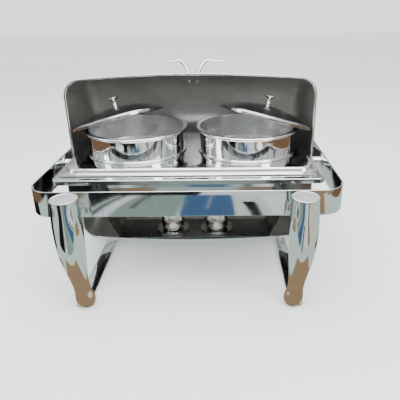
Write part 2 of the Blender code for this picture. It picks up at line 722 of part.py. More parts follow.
def adaptor_plate():
    """A raised plate over the pan with a round hole for each pot."""
    sheet = PLATE_SHEET
    top, low = plate_top, plate_flange_top
    slope = PLATE_SLOPE
    corner = PLATE_CORNER
    body = skin([rounded(plate_top_x - sheet, plate_top_y - sheet, corner - slope - sheet,
                         top - sheet),
                 rounded(plate_top_x + slope - sheet, plate_top_y + slope - sheet,
                         corner - sheet, low - sheet),
                 rounded(plate_x, plate_y, FLANGE_CORNER, low - sheet),
                 rounded(plate_x, plate_y, FLANGE_CORNER, low),
                 rounded(plate_top_x + slope, plate_top_y + slope, corner, low),
                 rounded(plate_top_x + 0.001, plate_top_y + 0.001, corner - slope, top - 0.0012),
                 rounded(plate_top_x - 0.001, plate_top_y - 0.001, corner - slope, top)])
    plate = place("adaptor_plate", body, mirror_steel())
    for side, sx in SIDES:
        cut(plate, cutter("cut_pot_" + side, hole_radius,
                          (sx * pot_x, 0, top - 0.02), (sx * pot_x, 0, top + 0.02),
                          CIRCLE_STEPS))


# ---------------------------------------------------------------- pots and lids
def pots():
    """Two soup pots with a rolled rim, and a collar that rests on the plate."""
    wall = pot_wall_radius
    rim = POT_RIM_RADIUS
    roll = POT_RIM_HEIGHT
    low = -POT_HANGS_DOWN
    collar = wall + POT_COLLAR_WIDTH
    inner = wall - POT_WALL
    profile = [(wall * 0.1, low)]
    profile += arc(wall - POT_BOTTOM_ROUND, low + POT_BOTTOM_ROUND, POT_BOTTOM_ROUND, -90, 0, 2)
    profile += [(wall, FIT_GAP), (collar, FIT_GAP), (collar, FIT_GAP + POT_COLLAR_HEIGHT - 0.001),
                (collar - 0.001, FIT_GAP + POT_COLLAR_HEIGHT), (wall, FIT_GAP + POT_COLLAR_HEIGHT),
                (wall, POT_STANDS_UP - roll), (rim - 0.003, POT_STANDS_UP - roll),
                (rim, POT_STANDS_UP - roll + 0.001), (rim, POT_STANDS_UP - 0.001),
                (rim - 0.001, POT_STANDS_UP), (inner + 0.0015, POT_STANDS_UP),
                (inner, POT_STANDS_UP - 0.0015)]
    profile += arc(wall - POT_BOTTOM_ROUND, low + POT_BOTTOM_ROUND,
                   POT_BOTTOM_ROUND - POT_WALL, 0, -90, 2)
    profile += [(wall * 0.1, low + POT_WALL)]
    for side, sx in SIDES:
        place("pot_" + side, turned(profile, CIRCLE_STEPS), mirror_steel(),
              (sx * pot_x, 0, plate_top))


def lid_axis(sx):
    return Vector((sx * LID_LEAN_OUT, LID_LEAN_BACK, 1.0)).normalized()


def lid_dome(share):
    """Height of the dome's outside at a share of the way from its middle to its foot."""
    foot = LID_BAND + 0.002
    return foot + (LID_DOME - foot) * (1 - share ** 2)


def lid_room(sx, height):
    """Least air between the pot's rim and the lid's underside, with its middle at height."""
    axis = lid_axis(sx)
    middle = Vector((sx * (pot_x + LID_SLID_OUT), LID_SLID_BACK, height))
    flat = math.cos(math.pi / CIRCLE_STEPS)
    least = 1.0
    for radius in (pot_wall_radius, POT_RIM_RADIUS - 0.001, POT_RIM_RADIUS):
        for point in circle(radius, pot_rim_z, 180, sx * pot_x):
            along = (point - middle).dot(axis)
            across = ((point - middle) - axis * along).length
            if across < (LID_RADIUS - LID_SHEET) * flat - LID_REST_GAP:
                share = min(across / flat / (LID_RADIUS - LID_BESIDE_BAND), 1.0)
                least = min(least, lid_dome(share) - LID_SHEET - along)
            elif across < LID_RADIUS + LID_REST_GAP:
                least = min(least, -along)
    return least


def lid_height(sx):
    """Height of the lid's middle at which it rests on the pot's rim, found by halving."""
    low, high = pot_rim_z - LID_DOME, pot_rim_z + LID_RADIUS
    for _ in range(40):
        middle = (low + high) / 2
        if lid_room(sx, middle) < LID_REST_GAP:
            low = middle
        else:
            high = middle
    return high


def lids():
    """Domed lids, each left leaning on its pot's rim, with a turned knob on top."""
    sheet = LID_SHEET
    edge = LID_RADIUS
    start = edge - LID_BESIDE_BAND
    dome = [(start * i / 5, lid_dome(i / 5)) for i in range(5, 0, -1)]
    outside = [(edge, 0), (edge, LID_BAND - 0.001), (edge - 0.001, LID_BAND), *dome,
               (start * 0.03, LID_DOME)]
    inside = [(start * 0.03, LID_DOME - sheet)]
    inside += [(r * (start - sheet) / start, z - sheet) for r, z in reversed(dome)]
    inside += [(edge - 0.001 - sheet * 0.5, LID_BAND - sheet), (edge - sheet, LID_BAND - 0.001 - sheet),
               (edge - sheet, 0)]
    for side, sx in SIDES:
        axis = lid_axis(sx)
        centre = Vector((sx * (pot_x + LID_SLID_OUT), LID_SLID_BACK, lid_height(sx)))
        turn = axis.to_track_quat("Z", "Y").to_euler()
        loops = [circle(r, z, CIRCLE_STEPS) for r, z in inside + outside]
        place("pot_lid_" + side, skin(loops), mirror_steel(), centre, turn)
        knob = turned(((KNOB_FOOT_RADIUS, 0), (KNOB_FOOT_RADIUS, KNOB_FOOT_THICK),
                       (KNOB_STEM_RADIUS, 0.005),
                       (KNOB_STEM_RADIUS, KNOB_HEIGHT - KNOB_CAP_THICK - 0.003),
                       (KNOB_CAP_RADIUS * 0.7, KNOB_HEIGHT - KNOB_CAP_THICK),
                       (KNOB_CAP_RADIUS, KNOB_HEIGHT - KNOB_CAP_THICK * 0.7),
                       (KNOB_CAP_RADIUS, KNOB_HEIGHT - KNOB_CAP_THICK * 0.45),
                       (KNOB_CAP_RADIUS * 0.75, KNOB_HEIGHT - KNOB_CAP_THICK * 0.12),
                       (KNOB_CAP_RADIUS * 0.3, KNOB_HEIGHT)), LEG_STEPS)
        place("lid_knob_" + side, knob, mirror_steel(),
              centre + axis * (LID_DOME + FIT_GAP), turn)


# ---------------------------------------------------------------- cover
def cover_profile(half_x, radius, corner):
    """Half of the cover's outline, (x, distance from the axis), left end to right end."""
    shoulder = half_x - corner
    end = radius - COVER_CROWN
    right = [(half_x, end - corner)]
    right += arc(shoulder, end - corner, corner, 15, 75, 4)
    right += [(shoulder * t, radius - COVER_CROWN * t * t) for t in (1.0, 0.75, 0.5, 0.25)]
    left = [(-x, rho) for x, rho in right]
    return [(-half_x, 0.0), *left, (0.0, radius), *reversed(right), (half_x, 0.0)]


def cover_shell(parent, pivots, screw_cutters):
    """A half drum with flat ends, of one sheet; it stands open, with its hollow to the front."""
    def surface(half_x, radius, corner):
        line = cover_profile(half_x, radius, corner)
        rows = [[Vector((x, -COVER_RIM_AHEAD, rho)) for x, rho in line]]
        for i in range(ROLL_STEPS + 1):
            t = math.pi * i / ROLL_STEPS
            rows.append([Vector((x, rho * math.sin(t), rho * math.cos(t))) for x, rho in line])
        rows.append([Vector((x, -COVER_RIM_AHEAD, -rho)) for x, rho in line])
        return rows
    body = bmesh.new()
    outer = surface(cover_x, cover_radius, COVER_CORNER)
    inner = surface(cover_x - COVER_SHEET, cover_radius - COVER_SHEET, COVER_CORNER - COVER_SHEET)
    outer = [[body.verts.new(p) for p in row] for row in outer]
    inner = [[body.verts.new(p) for p in row] for row in inner]
    strips = list(zip(outer, outer[1:])) + [(b, a) for a, b in zip(inner, inner[1:])]
    strips += [(inner[0], outer[0]), (outer[-1], inner[-1])]
    for a, b in strips:
        for i in range(len(a) - 1):
            body.faces.new((a[i], a[i + 1], b[i + 1], b[i]))
    bmesh.ops.remove_doubles(body, verts=body.verts, dist=1e-6)
    bmesh.ops.dissolve_degenerate(body, edges=body.edges, dist=1e-6)
    shell = place("cover_shell", body, satin_steel(), parent=parent)
    for tool in [*pivots.values(), *screw_cutters]:
        cut(shell, tool)


def cover_rim(parent):
    """The rolled hem round the cover's open side."""
    def loop(half_x, radius, corner, y):
        line = cover_profile(half_x, radius, corner)[1:-1]
        above = [Vector((x, y, rho)) for x, rho in line]
        return above + [Vector((x, y, -rho)) for x, rho in reversed(line)]
    in_x, in_radius = cover_x - COVER_SHEET, cover_radius - COVER_SHEET
    in_corner = COVER_CORNER - COVER_SHEET
    out_corner = in_corner + COVER_HEM
    back = -COVER_RIM_AHEAD - FIT_GAP
    front = back - COVER_HEM_THICK
    bevel = COVER_HEM_THICK * 0.3
    body = skin([loop(in_x, in_radius, in_corner, back),
                 loop(hem_x, hem_radius, out_corner, back),
                 loop(hem_x, hem_radius, out_corner, front + bevel),
                 loop(hem_x - bevel, hem_radius - bevel, out_corner - bevel, front),
                 loop(in_x + bevel, in_radius + bevel, in_corner + bevel, front),
                 loop(in_x, in_radius, in_corner, front + bevel)], closed=True)
    place("cover_rim", body, mirror_steel(), parent=parent)


def handle_turn():
    """Turns +Z to the cover's outward direction at the handle."""
    return (-math.radians(HANDLE_ANGLE), 0, 0)


def handle_screw_x(sx):
    return sx * (PAD_LENGTH / 2 - SCREW_FROM_PAD_END)


def handle_screw_cutters():
    out = Matrix.Rotation(-math.radians(HANDLE_ANGLE), 3, "X") @ Vector((0, 0, 1))
    base = Vector((0, 0, axis_z))
    made = []
    for side, sx in SIDES:
        aside = Vector((handle_screw_x(sx), 0, 0))
        made.append(cutter("cut_handle_screw_" + side, SCREW_RADIUS + BOLT_CLEARANCE,
                           base + aside + out * (cover_radius - 0.01),
                           base + aside + out * (cover_radius + 0.0035)))
    return made


def handle(parent, screw_cutters):
    """A small pad with two slender horns, held by two screws from inside the cover."""
    seat = cover_radius + 2 * FIT_GAP
    pad = skin([rounded(PAD_LENGTH / 2, PAD_WIDTH / 2, PAD_WIDTH / 2 - 0.001, seat),
                rounded(PAD_LENGTH / 2, PAD_WIDTH / 2, PAD_WIDTH / 2 - 0.001,
                        seat + PAD_THICK * 0.6),
                rounded(PAD_LENGTH / 2 - 0.002, PAD_WIDTH / 2 - 0.002, PAD_WIDTH / 2 - 0.003,
                        seat + PAD_THICK)])
    base = place("handle_base", pad, mirror_steel(), rotation=handle_turn(), parent=parent)
    for tool in screw_cutters:
        cut(base, tool)
    for side, sx in SIDES:
        horn(side, sx, seat + PAD_THICK + FIT_GAP, parent)
        head = SCREW_HEAD_RADIUS
        facet_slope = math.tan(math.pi / ROLL_STEPS / 2)
        under = cover_radius - COVER_SHEET - head * facet_slope - FIT_GAP
        screw = turned(((head * 0.5, under - SCREW_HEAD_HEIGHT),
                        (head, under - SCREW_HEAD_HEIGHT * 0.4), (head, under),
                        (SCREW_RADIUS, under), (SCREW_RADIUS, cover_radius + 0.003)))
        held = place("handle_screw_" + side, screw, mirror_steel(), rotation=handle_turn(),
                     parent=parent)
        held.location = (handle_screw_x(sx), 0, 0)


def horn(side, sx, root, parent):
    """A slender horn: up from the pad, round a bend, then level with a slight wave."""
    stem = HANDLE_STEM_APART
    rise = HANDLE_RISE - PAD_THICK
    bend_x = stem + HANDLE_BEND_OUT
    steps = 12
    path = []
    for i in range(steps + 1):
        t = i / steps
        if t < HORN_LEVEL_AT:
            turn = t / HORN_LEVEL_AT * math.pi / 2
            path.append((stem + (bend_x - stem) * (1 - math.cos(turn)) ** HORN_SWEEP,
                         rise * math.sin(turn)))
        else:
            level = (t - HORN_LEVEL_AT) / (1 - HORN_LEVEL_AT)
            path.append((bend_x + (HANDLE_HALF_SPAN - bend_x) * level,
                         rise - HORN_SAG * math.sin(math.pi * level)))
    loops = []
    for i, (x, z) in enumerate(path):
        before, after = path[max(i - 1, 0)], path[min(i + 1, steps)]
        along = Vector((after[0] - before[0], 0, after[1] - before[1])).normalized()
        if i == 0:
            along = Vector((0, 0, 1))
        across = Vector((along.z, 0, -along.x))
        radius = HORN_ROOT_RADIUS + (HORN_TIP_RADIUS - HORN_ROOT_RADIUS) * (i / steps) ** 1.6
        centre = Vector((x, 0, root + z))
        ring = []
        for k in range(8):
            turn = 2 * math.pi * k / 8
            ring.append(centre + (across * math.cos(turn) + Vector((0, 1, 0)) * math.sin(turn))
                        * radius)
        loops.append([Vector((sx * p.x, p.y, p.z)) for p in ring])
    place("handle_horn_" + side, skin(loops), mirror_steel(), rotation=handle_turn(),
          parent=parent)


# ---------------------------------------------------------------- assembly
for old in list(bpy.data.objects):
    bpy.data.objects.remove(old, do_unlink=True)

pivot_tools = pivot_cutters()
leg_bolt_tools = leg_bolt_cutters()
bracket_tools = bracket_screw_cutters()
handle_tools = handle_screw_cutters()
cover_axis = empty("cover_axis", (0, 0, axis_z))

ring_band(pivot_tools, leg_bolt_tools)
legs(leg_bolt_tools)
runners()
pivot_hardware()
top_frame(pivot_tools, bracket_tools)
end_brackets(pivot_tools, bracket_tools)
bracket_screws()
fuel_shelf()
burners()
water_pan()
adaptor_plate()
pots()
lids()
cover_shell(cover_axis, pivot_tools, handle_tools)
cover_rim(cover_axis)
handle(cover_axis, handle_tools)
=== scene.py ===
import math

import bmesh
import bpy
from mathutils import Matrix, Vector


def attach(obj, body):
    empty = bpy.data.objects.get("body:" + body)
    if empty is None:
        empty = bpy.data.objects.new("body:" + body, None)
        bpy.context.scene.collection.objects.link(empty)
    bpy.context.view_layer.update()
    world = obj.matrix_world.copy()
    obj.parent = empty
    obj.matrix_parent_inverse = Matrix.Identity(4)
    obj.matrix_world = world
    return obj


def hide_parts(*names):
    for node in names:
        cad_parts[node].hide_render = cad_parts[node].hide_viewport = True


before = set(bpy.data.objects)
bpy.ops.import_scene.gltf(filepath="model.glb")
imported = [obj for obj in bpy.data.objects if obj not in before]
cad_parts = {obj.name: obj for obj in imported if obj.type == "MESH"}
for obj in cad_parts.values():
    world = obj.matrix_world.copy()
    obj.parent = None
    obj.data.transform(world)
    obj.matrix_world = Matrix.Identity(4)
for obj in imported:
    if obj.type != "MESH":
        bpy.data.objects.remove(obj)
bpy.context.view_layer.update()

SIDES = (("left", -1), ("right", 1))
ENDS = (("front", -1), ("rear", 1))


# ------------------------------------------------------------------ carrying ring
# A flat strip of mirror-polished stainless steel, bent to a rounded rectangle and butt
# welded.  It ties the four legs together, and its two ends are the carrying handles.
ring_half_x, ring_half_y = 0.331, 0.235
ring_low, ring_top = 0.2060, 0.2630
ring_thick = 0.003
ring_corner = 0.050


def link(tree, start, end):
    tree.links.new(start, end)


def noise(tree, place, scale, detail=3.0, roughness=0.55, stretch=None, turn=(0, 0, 0)):
    """A noise pattern over the piece, drawn out where stretch says so."""
    if stretch is not None:
        mapping = tree.nodes.new("ShaderNodeMapping")
        mapping.inputs["Scale"].default_value = stretch
        mapping.inputs["Rotation"].default_value = turn
        link(tree, place, mapping.inputs["Vector"])
        place = mapping.outputs["Vector"]
    pattern = tree.nodes.new("ShaderNodeTexNoise")
    pattern.inputs["Scale"].default_value = scale
    pattern.inputs["Detail"].default_value = detail
    pattern.inputs["Roughness"].default_value = roughness
    link(tree, place, pattern.inputs["Vector"])
    return pattern.outputs["Fac"]


def spread(tree, value, low, high, start, end):
    """Turns the range low to high of a pattern into start to end."""
    ranged = tree.nodes.new("ShaderNodeMapRange")
    for socket, number in zip(("From Min", "From Max", "To Min", "To Max"),
                              (low, high, start, end)):
        ranged.inputs[socket].default_value = number
    link(tree, value, ranged.inputs["Value"])
    return ranged.outputs["Result"]


def total(tree, first, second, how="ADD"):
    node = tree.nodes.new("ShaderNodeMath")
    node.operation = how
    link(tree, first, node.inputs[0])
    link(tree, second, node.inputs[1])
    return node.outputs["Value"]


def raised(tree, height, distance, strength, under=None):
    bump = tree.nodes.new("ShaderNodeBump")
    bump.inputs["Strength"].default_value = strength
    bump.inputs["Distance"].default_value = distance
    link(tree, height, bump.inputs["Height"])
    if under is not None:
        link(tree, under, bump.inputs["Normal"])
    return bump.outputs["Normal"]


def spun_place(tree, place, centre):
    """Distance from a turning axis, and height: marks of the spinning lathe run round it."""
    mapping = tree.nodes.new("ShaderNodeMapping")
    mapping.inputs["Location"].default_value = [-value for value in centre]
    link(tree, place, mapping.inputs["Vector"])
    parts = tree.nodes.new("ShaderNodeSeparateXYZ")
    link(tree, mapping.outputs["Vector"], parts.inputs["Vector"])
    flat = tree.nodes.new("ShaderNodeCombineXYZ")
    link(tree, parts.outputs["X"], flat.inputs["X"])
    link(tree, parts.outputs["Y"], flat.inputs["Y"])
    length = tree.nodes.new("ShaderNodeVectorMath")
    length.operation = "LENGTH"
    link(tree, flat.outputs["Vector"], length.inputs[0])
    joined = tree.nodes.new("ShaderNodeCombineXYZ")
    link(tree, length.outputs["Value"], joined.inputs["X"])
    link(tree, parts.outputs["Z"], joined.inputs["Z"])
    return joined.outputs["Vector"]


def steel(name, light, dark, gloss, haze, grain=(60, 60, 60), grain_depth=0.00002,
          wave=0.0004, wave_size=7.0, marks=0.08, spun=None):
    """Stainless steel: gloss is its roughness where clean, haze where it was wiped or rubbed."""
    made = bpy.data.materials.new(name)
    made.use_nodes = True
    tree = made.node_tree
    shader = tree.nodes["Principled BSDF"]
    shader.inputs["Metallic"].default_value = 1.0
    place = tree.nodes.new("ShaderNodeTexCoord").outputs["Object"]
    grain_place = place if spun is None else spun_place(tree, place, spun)
    lines = noise(tree, grain_place, 1.0, 4.0, 0.6, stretch=grain)
    smears = noise(tree, place, 9.0, 4.0, 0.6, stretch=(1.0, 1.0, 1.6))
    spots = noise(tree, place, 140.0, 2.0, 0.5)
    hairs = noise(tree, place, 1.0, 2.0, 0.4, stretch=(900, 14, 22), turn=(0.35, 0.6, 0.9))
    tint = tree.nodes.new("ShaderNodeMix")
    tint.data_type = "RGBA"
    tint.inputs["A"].default_value = (*light, 1.0)
    tint.inputs["B"].default_value = (*dark, 1.0)
    link(tree, spread(tree, total(tree, smears, lines, "MULTIPLY"), 0.16, 0.42, 0.0, 1.0),
         tint.inputs["Factor"])
    link(tree, tint.outputs["Result"], shader.inputs["Base Color"])
    rough = spread(tree, smears, 0.34, 0.70, gloss, haze)
    rough = total(tree, rough, spread(tree, hairs, 0.66, 0.78, 0.0, marks))
    rough = total(tree, rough, spread(tree, spots, 0.60, 0.80, 0.0, marks * 0.6))
    rough = total(tree, rough, spread(tree, lines, 0.35, 0.65, 0.0, marks * 0.35))
    link(tree, rough, shader.inputs["Roughness"])
    swell = noise(tree, place, wave_size, 1.0, 0.4)
    normal = raised(tree, swell, wave, 0.35)
    normal = raised(tree, lines, grain_depth, 0.5, normal)
    normal = raised(tree, hairs, 0.00001, 0.25, normal)
    link(tree, normal, shader.inputs["Normal"])
    return made


ring_steel = steel("mirror_steel_ring", (0.86, 0.88, 0.88), (0.72, 0.75, 0.76), 0.035, 0.10,
                   grain=(700, 700, 12), wave=0.0012, wave_size=5.0)


def input_number(tree, name, value):
    socket = tree.interface.new_socket(name, in_out="INPUT", socket_type="NodeSocketFloat")
    socket.default_value = value
    return socket


def new_tree(name):
    """A geometry tree with one geometry input and one output."""
    tree = bpy.data.node_groups.new(name, "GeometryNodeTree")
    tree.interface.new_socket("Geometry", in_out="INPUT", socket_type="NodeSocketGeometry")
    tree.interface.new_socket("Geometry", in_out="OUTPUT", socket_type="NodeSocketGeometry")
    return tree


def finish_tree(tree, shape, surface):
    """Ends a tree: real copies, smooth faces, and the material."""
    real = tree.nodes.new("GeometryNodeRealizeInstances")
    link(tree, shape, real.inputs["Geometry"])
    shade = tree.nodes.new("GeometryNodeSetShadeSmooth")
    link(tree, real.outputs["Geometry"], shade.inputs["Geometry"])
    paint = tree.nodes.new("GeometryNodeSetMaterial")
    link(tree, shade.outputs["Geometry"], paint.inputs["Geometry"])
    link(tree, surface, paint.inputs["Material"])
    out = tree.nodes.new("NodeGroupOutput")
    link(tree, paint.outputs["Geometry"], out.inputs["Geometry"])


def grown(name, tree, surface, numbers, start=None, crease=35):
    """Runs a geometry tree once and keeps its result as a plain mesh."""
    mesh = bpy.data.meshes.new(name + "_start")
    if start is not None:
        mesh.from_pydata([place for place, way in start], [], [])
        ways = mesh.attributes.new("way", "FLOAT_VECTOR", "POINT")
        for i, (place, way) in enumerate(start):
            ways.data[i].vector = way
    made = bpy.data.objects.new(name, mesh)
    bpy.context.scene.collection.objects.link(made)
    step = made.modifiers.new("grow", "NODES")
    step.node_group = tree
    for item in tree.interface.items_tree:
        if item.item_type == "SOCKET" and item.in_out == "INPUT":
            if item.name in numbers:
                step[item.identifier] = numbers[item.name]
            elif item.name == "Material":
                step[item.identifier] = surface
    bpy.context.view_layer.update()
    seen = made.evaluated_get(bpy.context.evaluated_depsgraph_get())
    result = bpy.data.meshes.new_from_object(seen)
    made.modifiers.remove(step)
    made.data = result
    result.name = name
    if not result.materials:
        result.materials.append(surface)
    result.shade_smooth()
    result.set_sharp_from_angle(angle=math.radians(crease))
    return made


ring_tree = new_tree("bent_strip_ring")
for label, value in (("Length", 0.6), ("Depth", 0.4), ("Corner", 0.05), ("Height", 0.05),
                     ("Thickness", 0.003), ("Edge", 0.001), ("Middle", 0.2)):
    input_number(ring_tree, label, value)
ring_tree.interface.new_socket("Material", in_out="INPUT", socket_type="NodeSocketMaterial")
given = ring_tree.nodes.new("NodeGroupInput")
plan = ring_tree.nodes.new("GeometryNodeCurvePrimitiveQuadrilateral")
link(ring_tree, given.outputs["Length"], plan.inputs["Width"])
link(ring_tree, given.outputs["Depth"], plan.inputs["Height"])
bend = ring_tree.nodes.new("GeometryNodeFilletCurve")
bend.mode = "POLY"
bend.inputs["Count"].default_value = 20
link(ring_tree, plan.outputs["Curve"], bend.inputs["Curve"])
link(ring_tree, given.outputs["Corner"], bend.inputs["Radius"])
strip = ring_tree.nodes.new("GeometryNodeCurvePrimitiveQuadrilateral")
link(ring_tree, given.outputs["Thickness"], strip.inputs["Width"])
link(ring_tree, given.outputs["Height"], strip.inputs["Height"])
edge = ring_tree.nodes.new("GeometryNodeFilletCurve")
edge.mode = "POLY"
edge.inputs["Count"].default_value = 4
link(ring_tree, strip.outputs["Curve"], edge.inputs["Curve"])
link(ring_tree, given.outputs["Edge"], edge.inputs["Radius"])
sweep = ring_tree.nodes.new("GeometryNodeCurveToMesh")
link(ring_tree, bend.outputs["Curve"], sweep.inputs["Curve"])
link(ring_tree, edge.outputs["Curve"], sweep.inputs["Profile Curve"])
lift = ring_tree.nodes.new("GeometryNodeTransform")
height = ring_tree.nodes.new("ShaderNodeCombineXYZ")
link(ring_tree, given.outputs["Middle"], height.inputs["Z"])
link(ring_tree, sweep.outputs["Mesh"], lift.inputs["Geometry"])
link(ring_tree, height.outputs["Vector"], lift.inputs["Translation"])
finish_tree(ring_tree, lift.outputs["Geometry"], given.outputs["Material"])

ring = grown("carrying_ring", ring_tree, ring_steel,
             {"Length": 2 * ring_half_x - ring_thick, "Depth": 2 * ring_half_y - ring_thick,
              "Corner": ring_corner - ring_thick / 2, "Height": ring_top - ring_low,
              "Thickness": ring_thick, "Edge": 0.0011,
              "Middle": (ring_top + ring_low) / 2})
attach(ring, "stand")
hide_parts("ring_band")


# ------------------------------------------------------------------ legs
# Tapered horns spun from polished stainless tube, leaning in at the toe.  Each is shut by
# a pressed cap with a rolled edge and bolted to the ring from inside.
leg_x, leg_y = 0.2385, 0.2653
leg_low, leg_top = 0.0053, 0.2607
leg_sheet = 0.0015
leg_lean, leg_lean_starts = 0.0125, 0.16
leg_stations = ((leg_low, 0.0160), (0.017, 0.0207), (0.045, 0.0172), (0.200, 0.0300),
                (leg_top, 0.0274))
leg_steel = steel("mirror_steel_legs", (0.88, 0.89, 0.87), (0.76, 0.77, 0.74), 0.03, 0.07,
                  grain=(500, 500, 500), wave=0.0005, wave_size=12.0)
cap_steel = steel("satin_steel_caps", (0.96, 0.96, 0.95), (0.90, 0.90, 0.89), 0.34, 0.44,
                  grain=(900, 30, 900), wave=0.0003)


def ease(t):
    return (1 - math.cos(math.pi * t)) / 2


def leg_radius(z):
    for (low, start), (high, end) in zip(leg_stations, leg_stations[1:]):
        if z <= high:
            t = (z - low) / (high - low)
            if low == leg_low:
                return start + (end - start) * math.sin(math.pi / 2 * t)
            if start == 0.0172:
                t = 1 - (1 - t) ** 1.3
            return start + (end - start) * ease(t)
    return leg_stations[-1][1]


def leg_shift(z):
    if z >= leg_lean_starts:
        return 0.0
    return leg_lean * (1 - z / leg_lean_starts) ** 1.5


def circle(radius, z, steps=64, x=0.0, y=0.0):
    turns = [2 * math.pi * i / steps for i in range(steps)]
    return [Vector((x + radius * math.cos(t), y + radius * math.sin(t), z)) for t in turns]


def skin(loops, closed=False, materials=None):
    """Faces between neighbouring loops; the end loops are filled, or meet when closed."""
    body = bmesh.new()
    rows = [[body.verts.new(p) for p in loop] for loop in loops]
    pairs = list(zip(rows, rows[1:]))
    if closed:
        pairs.append((rows[-1], rows[0]))
    for number, (low, high) in enumerate(pairs):
        for i in range(len(low)):
            j = (i + 1) % len(low)
            face = body.faces.new((low[i], low[j], high[j], high[i]))
            if materials is not None:
                face.material_index = materials[number]
    if not closed:
        body.faces.new(rows[0])
        last = body.faces.new(list(reversed(rows[-1])))
        if materials is not None:
            last.material_index = materials[-1]
    return body


def piece(name, body, surfaces, rides, replaced, matrix=None, crease=35):
    if matrix is not None:
        bmesh.ops.transform(body, matrix=matrix, verts=body.verts)
    bmesh.ops.remove_doubles(body, verts=body.verts, dist=1e-7)
    bmesh.ops.recalc_face_normals(body, faces=body.faces)
    mesh = bpy.data.meshes.new(name)
    body.to_mesh(mesh)
    body.free()
    mesh.shade_smooth()
    mesh.set_sharp_from_angle(angle=math.radians(crease))
    for surface in surfaces if isinstance(surfaces, (list, tuple)) else (surfaces,):
        mesh.materials.append(surface)
    made = bpy.data.objects.new(name, mesh)
    bpy.context.scene.collection.objects.link(made)
    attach(made, rides)
    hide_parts(*replaced)
    return made


def softened(points, radius, steps=4, closed=False):
    """A line of (a, b) points with each corner rounded by radius."""
    count = len(points)
    result = []
    for i, (a, b) in enumerate(points):
        if not closed and i in (0, count - 1):
            result.append((a, b))
            continue
        here = Vector((a, b))
        before, after = Vector(points[i - 1]), Vector(points[(i + 1) % count])
        back, on = before - here, after - here
        if back.length < 1e-9 or on.length < 1e-9:
            result.append((a, b))
            continue
        corner = back.angle(on)
        reach = radius / max(math.tan(corner / 2), 1e-6)
        reach = min(reach, back.length * 0.45, on.length * 0.45)
        if corner > math.radians(176):
            result.append((a, b))
            continue
        start, end = here + back.normalized() * reach, here + on.normalized() * reach
        for k in range(steps + 1):
            t = k / steps
            p = start * (1 - t) ** 2 + here * 2 * t * (1 - t) + end * t * t
            result.append((p.x, p.y))
    return result


def turned(profile, steps=64, closed=False, materials=None):
    """A solid turned about Z from (radius, height) points."""
    return skin([circle(r, z, steps) for r, z in profile], closed, materials)


leg_heights = [leg_low + (0.020 - leg_low) * i / 10 for i in range(10)]
leg_heights += [0.020 + (leg_top - 0.020) * i / 60 for i in range(61)]
cap_radius = 0.0274
cap_profile = softened(((0.0002, 0.2586), (cap_radius - 0.002, 0.2586),
                        (cap_radius - 0.002, 0.2610),
                        (cap_radius, 0.2610), (cap_radius, 0.26285), (cap_radius - 0.0022, 0.26335),
                        (cap_radius - 0.0034, 0.2628), (0.0002, 0.26375)), 0.0006)
for side, sx in SIDES:
    for end, sy in ENDS:
        where = end + "_" + side

        def leg_loop(z, inset):
            shift = leg_shift(z)
            return circle(leg_radius(z) - inset, z, 64, sx * (leg_x - shift), sy * (leg_y - shift))
        wall = [leg_loop(z, 0) for z in leg_heights]
        wall += [leg_loop(z, leg_sheet) for z in reversed(leg_heights[::4])]
        piece("leg_" + where + "_horn", skin(wall, closed=True), leg_steel, "stand",
              ["leg_" + where])
        piece("leg_" + where + "_cap", turned(cap_profile), cap_steel, "stand",
              ["leg_cap_" + where], Matrix.Translation((sx * leg_x, sy * leg_y, 0)))


# ------------------------------------------------------------------ leg bolts
# One stainless button-head bolt for each leg, put in from inside the ring.
# The head has a six-sided socket for a key.
bolt_steel = steel("mirror_steel_bolts", (0.80, 0.80, 0.78), (0.66, 0.66, 0.64), 0.12, 0.22,
                   grain=(800, 800, 800), marks=0.12)
screw_tree = new_tree("screws_on_points")
for label, value in (("Head Radius", 0.005), ("Head Height", 0.003), ("Shank Radius", 0.002),
                     ("Shank Length", 0.01), ("Key Width", 0.001), ("Key Length", 0.004),
                     ("Key Depth", 0.0012), ("Key Sides", 6.0)):
    input_number(screw_tree, label, value)
screw_tree.interface.new_socket("Material", in_out="INPUT", socket_type="NodeSocketMaterial")
given = screw_tree.nodes.new("NodeGroupInput")


def tree_number(tree, how, first, second):
    node = tree.nodes.new("ShaderNodeMath")
    node.operation = how
    for socket, value in zip(node.inputs, (first, second)):
        if isinstance(value, (int, float)):
            socket.default_value = value
        else:
            link(tree, value, socket)
    return node.outputs["Value"]


def tree_vector(tree, x, y, z):
    node = tree.nodes.new("ShaderNodeCombineXYZ")
    for socket, value in zip(node.inputs, (x, y, z)):
        if isinstance(value, (int, float)):
            socket.default_value = value
        else:
            link(tree, value, socket)
    return node.outputs["Vector"]


def tree_moved(tree, shape, translation=None, scale=None, rotation=None):
    node = tree.nodes.new("GeometryNodeTransform")
    link(tree, shape, node.inputs["Geometry"])
    if translation is not None:
        link(tree, translation, node.inputs["Translation"])
    if scale is not None:
        link(tree, scale, node.inputs["Scale"])
    if rotation is not None:
        node.inputs["Rotation"].default_value = rotation
    return node.outputs["Geometry"]


ball = screw_tree.nodes.new("GeometryNodeMeshUVSphere")
ball.inputs["Segments"].default_value = 32
ball.inputs["Rings"].default_value = 20
link(screw_tree, given.outputs["Head Radius"], ball.inputs["Radius"])
flatten = tree_vector(screw_tree, 1.0, 1.0, tree_number(
    screw_tree, "DIVIDE", given.outputs["Head Height"], given.outputs["Head Radius"]))
dome = tree_moved(screw_tree, ball.outputs["Mesh"], scale=flatten)
below = screw_tree.nodes.new("GeometryNodeMeshCube")
wide = tree_number(screw_tree, "MULTIPLY", given.outputs["Head Radius"], 4.0)
link(screw_tree, tree_vector(screw_tree, wide, wide, wide), below.inputs["Size"])
drop = tree_vector(screw_tree, 0.0, 0.0, tree_number(
    screw_tree, "MULTIPLY", given.outputs["Head Radius"], -2.0))
half_space = tree_moved(screw_tree, below.outputs["Mesh"], translation=drop)
key_deep = tree_number(screw_tree, "MULTIPLY", given.outputs["Key Depth"], 2.0)
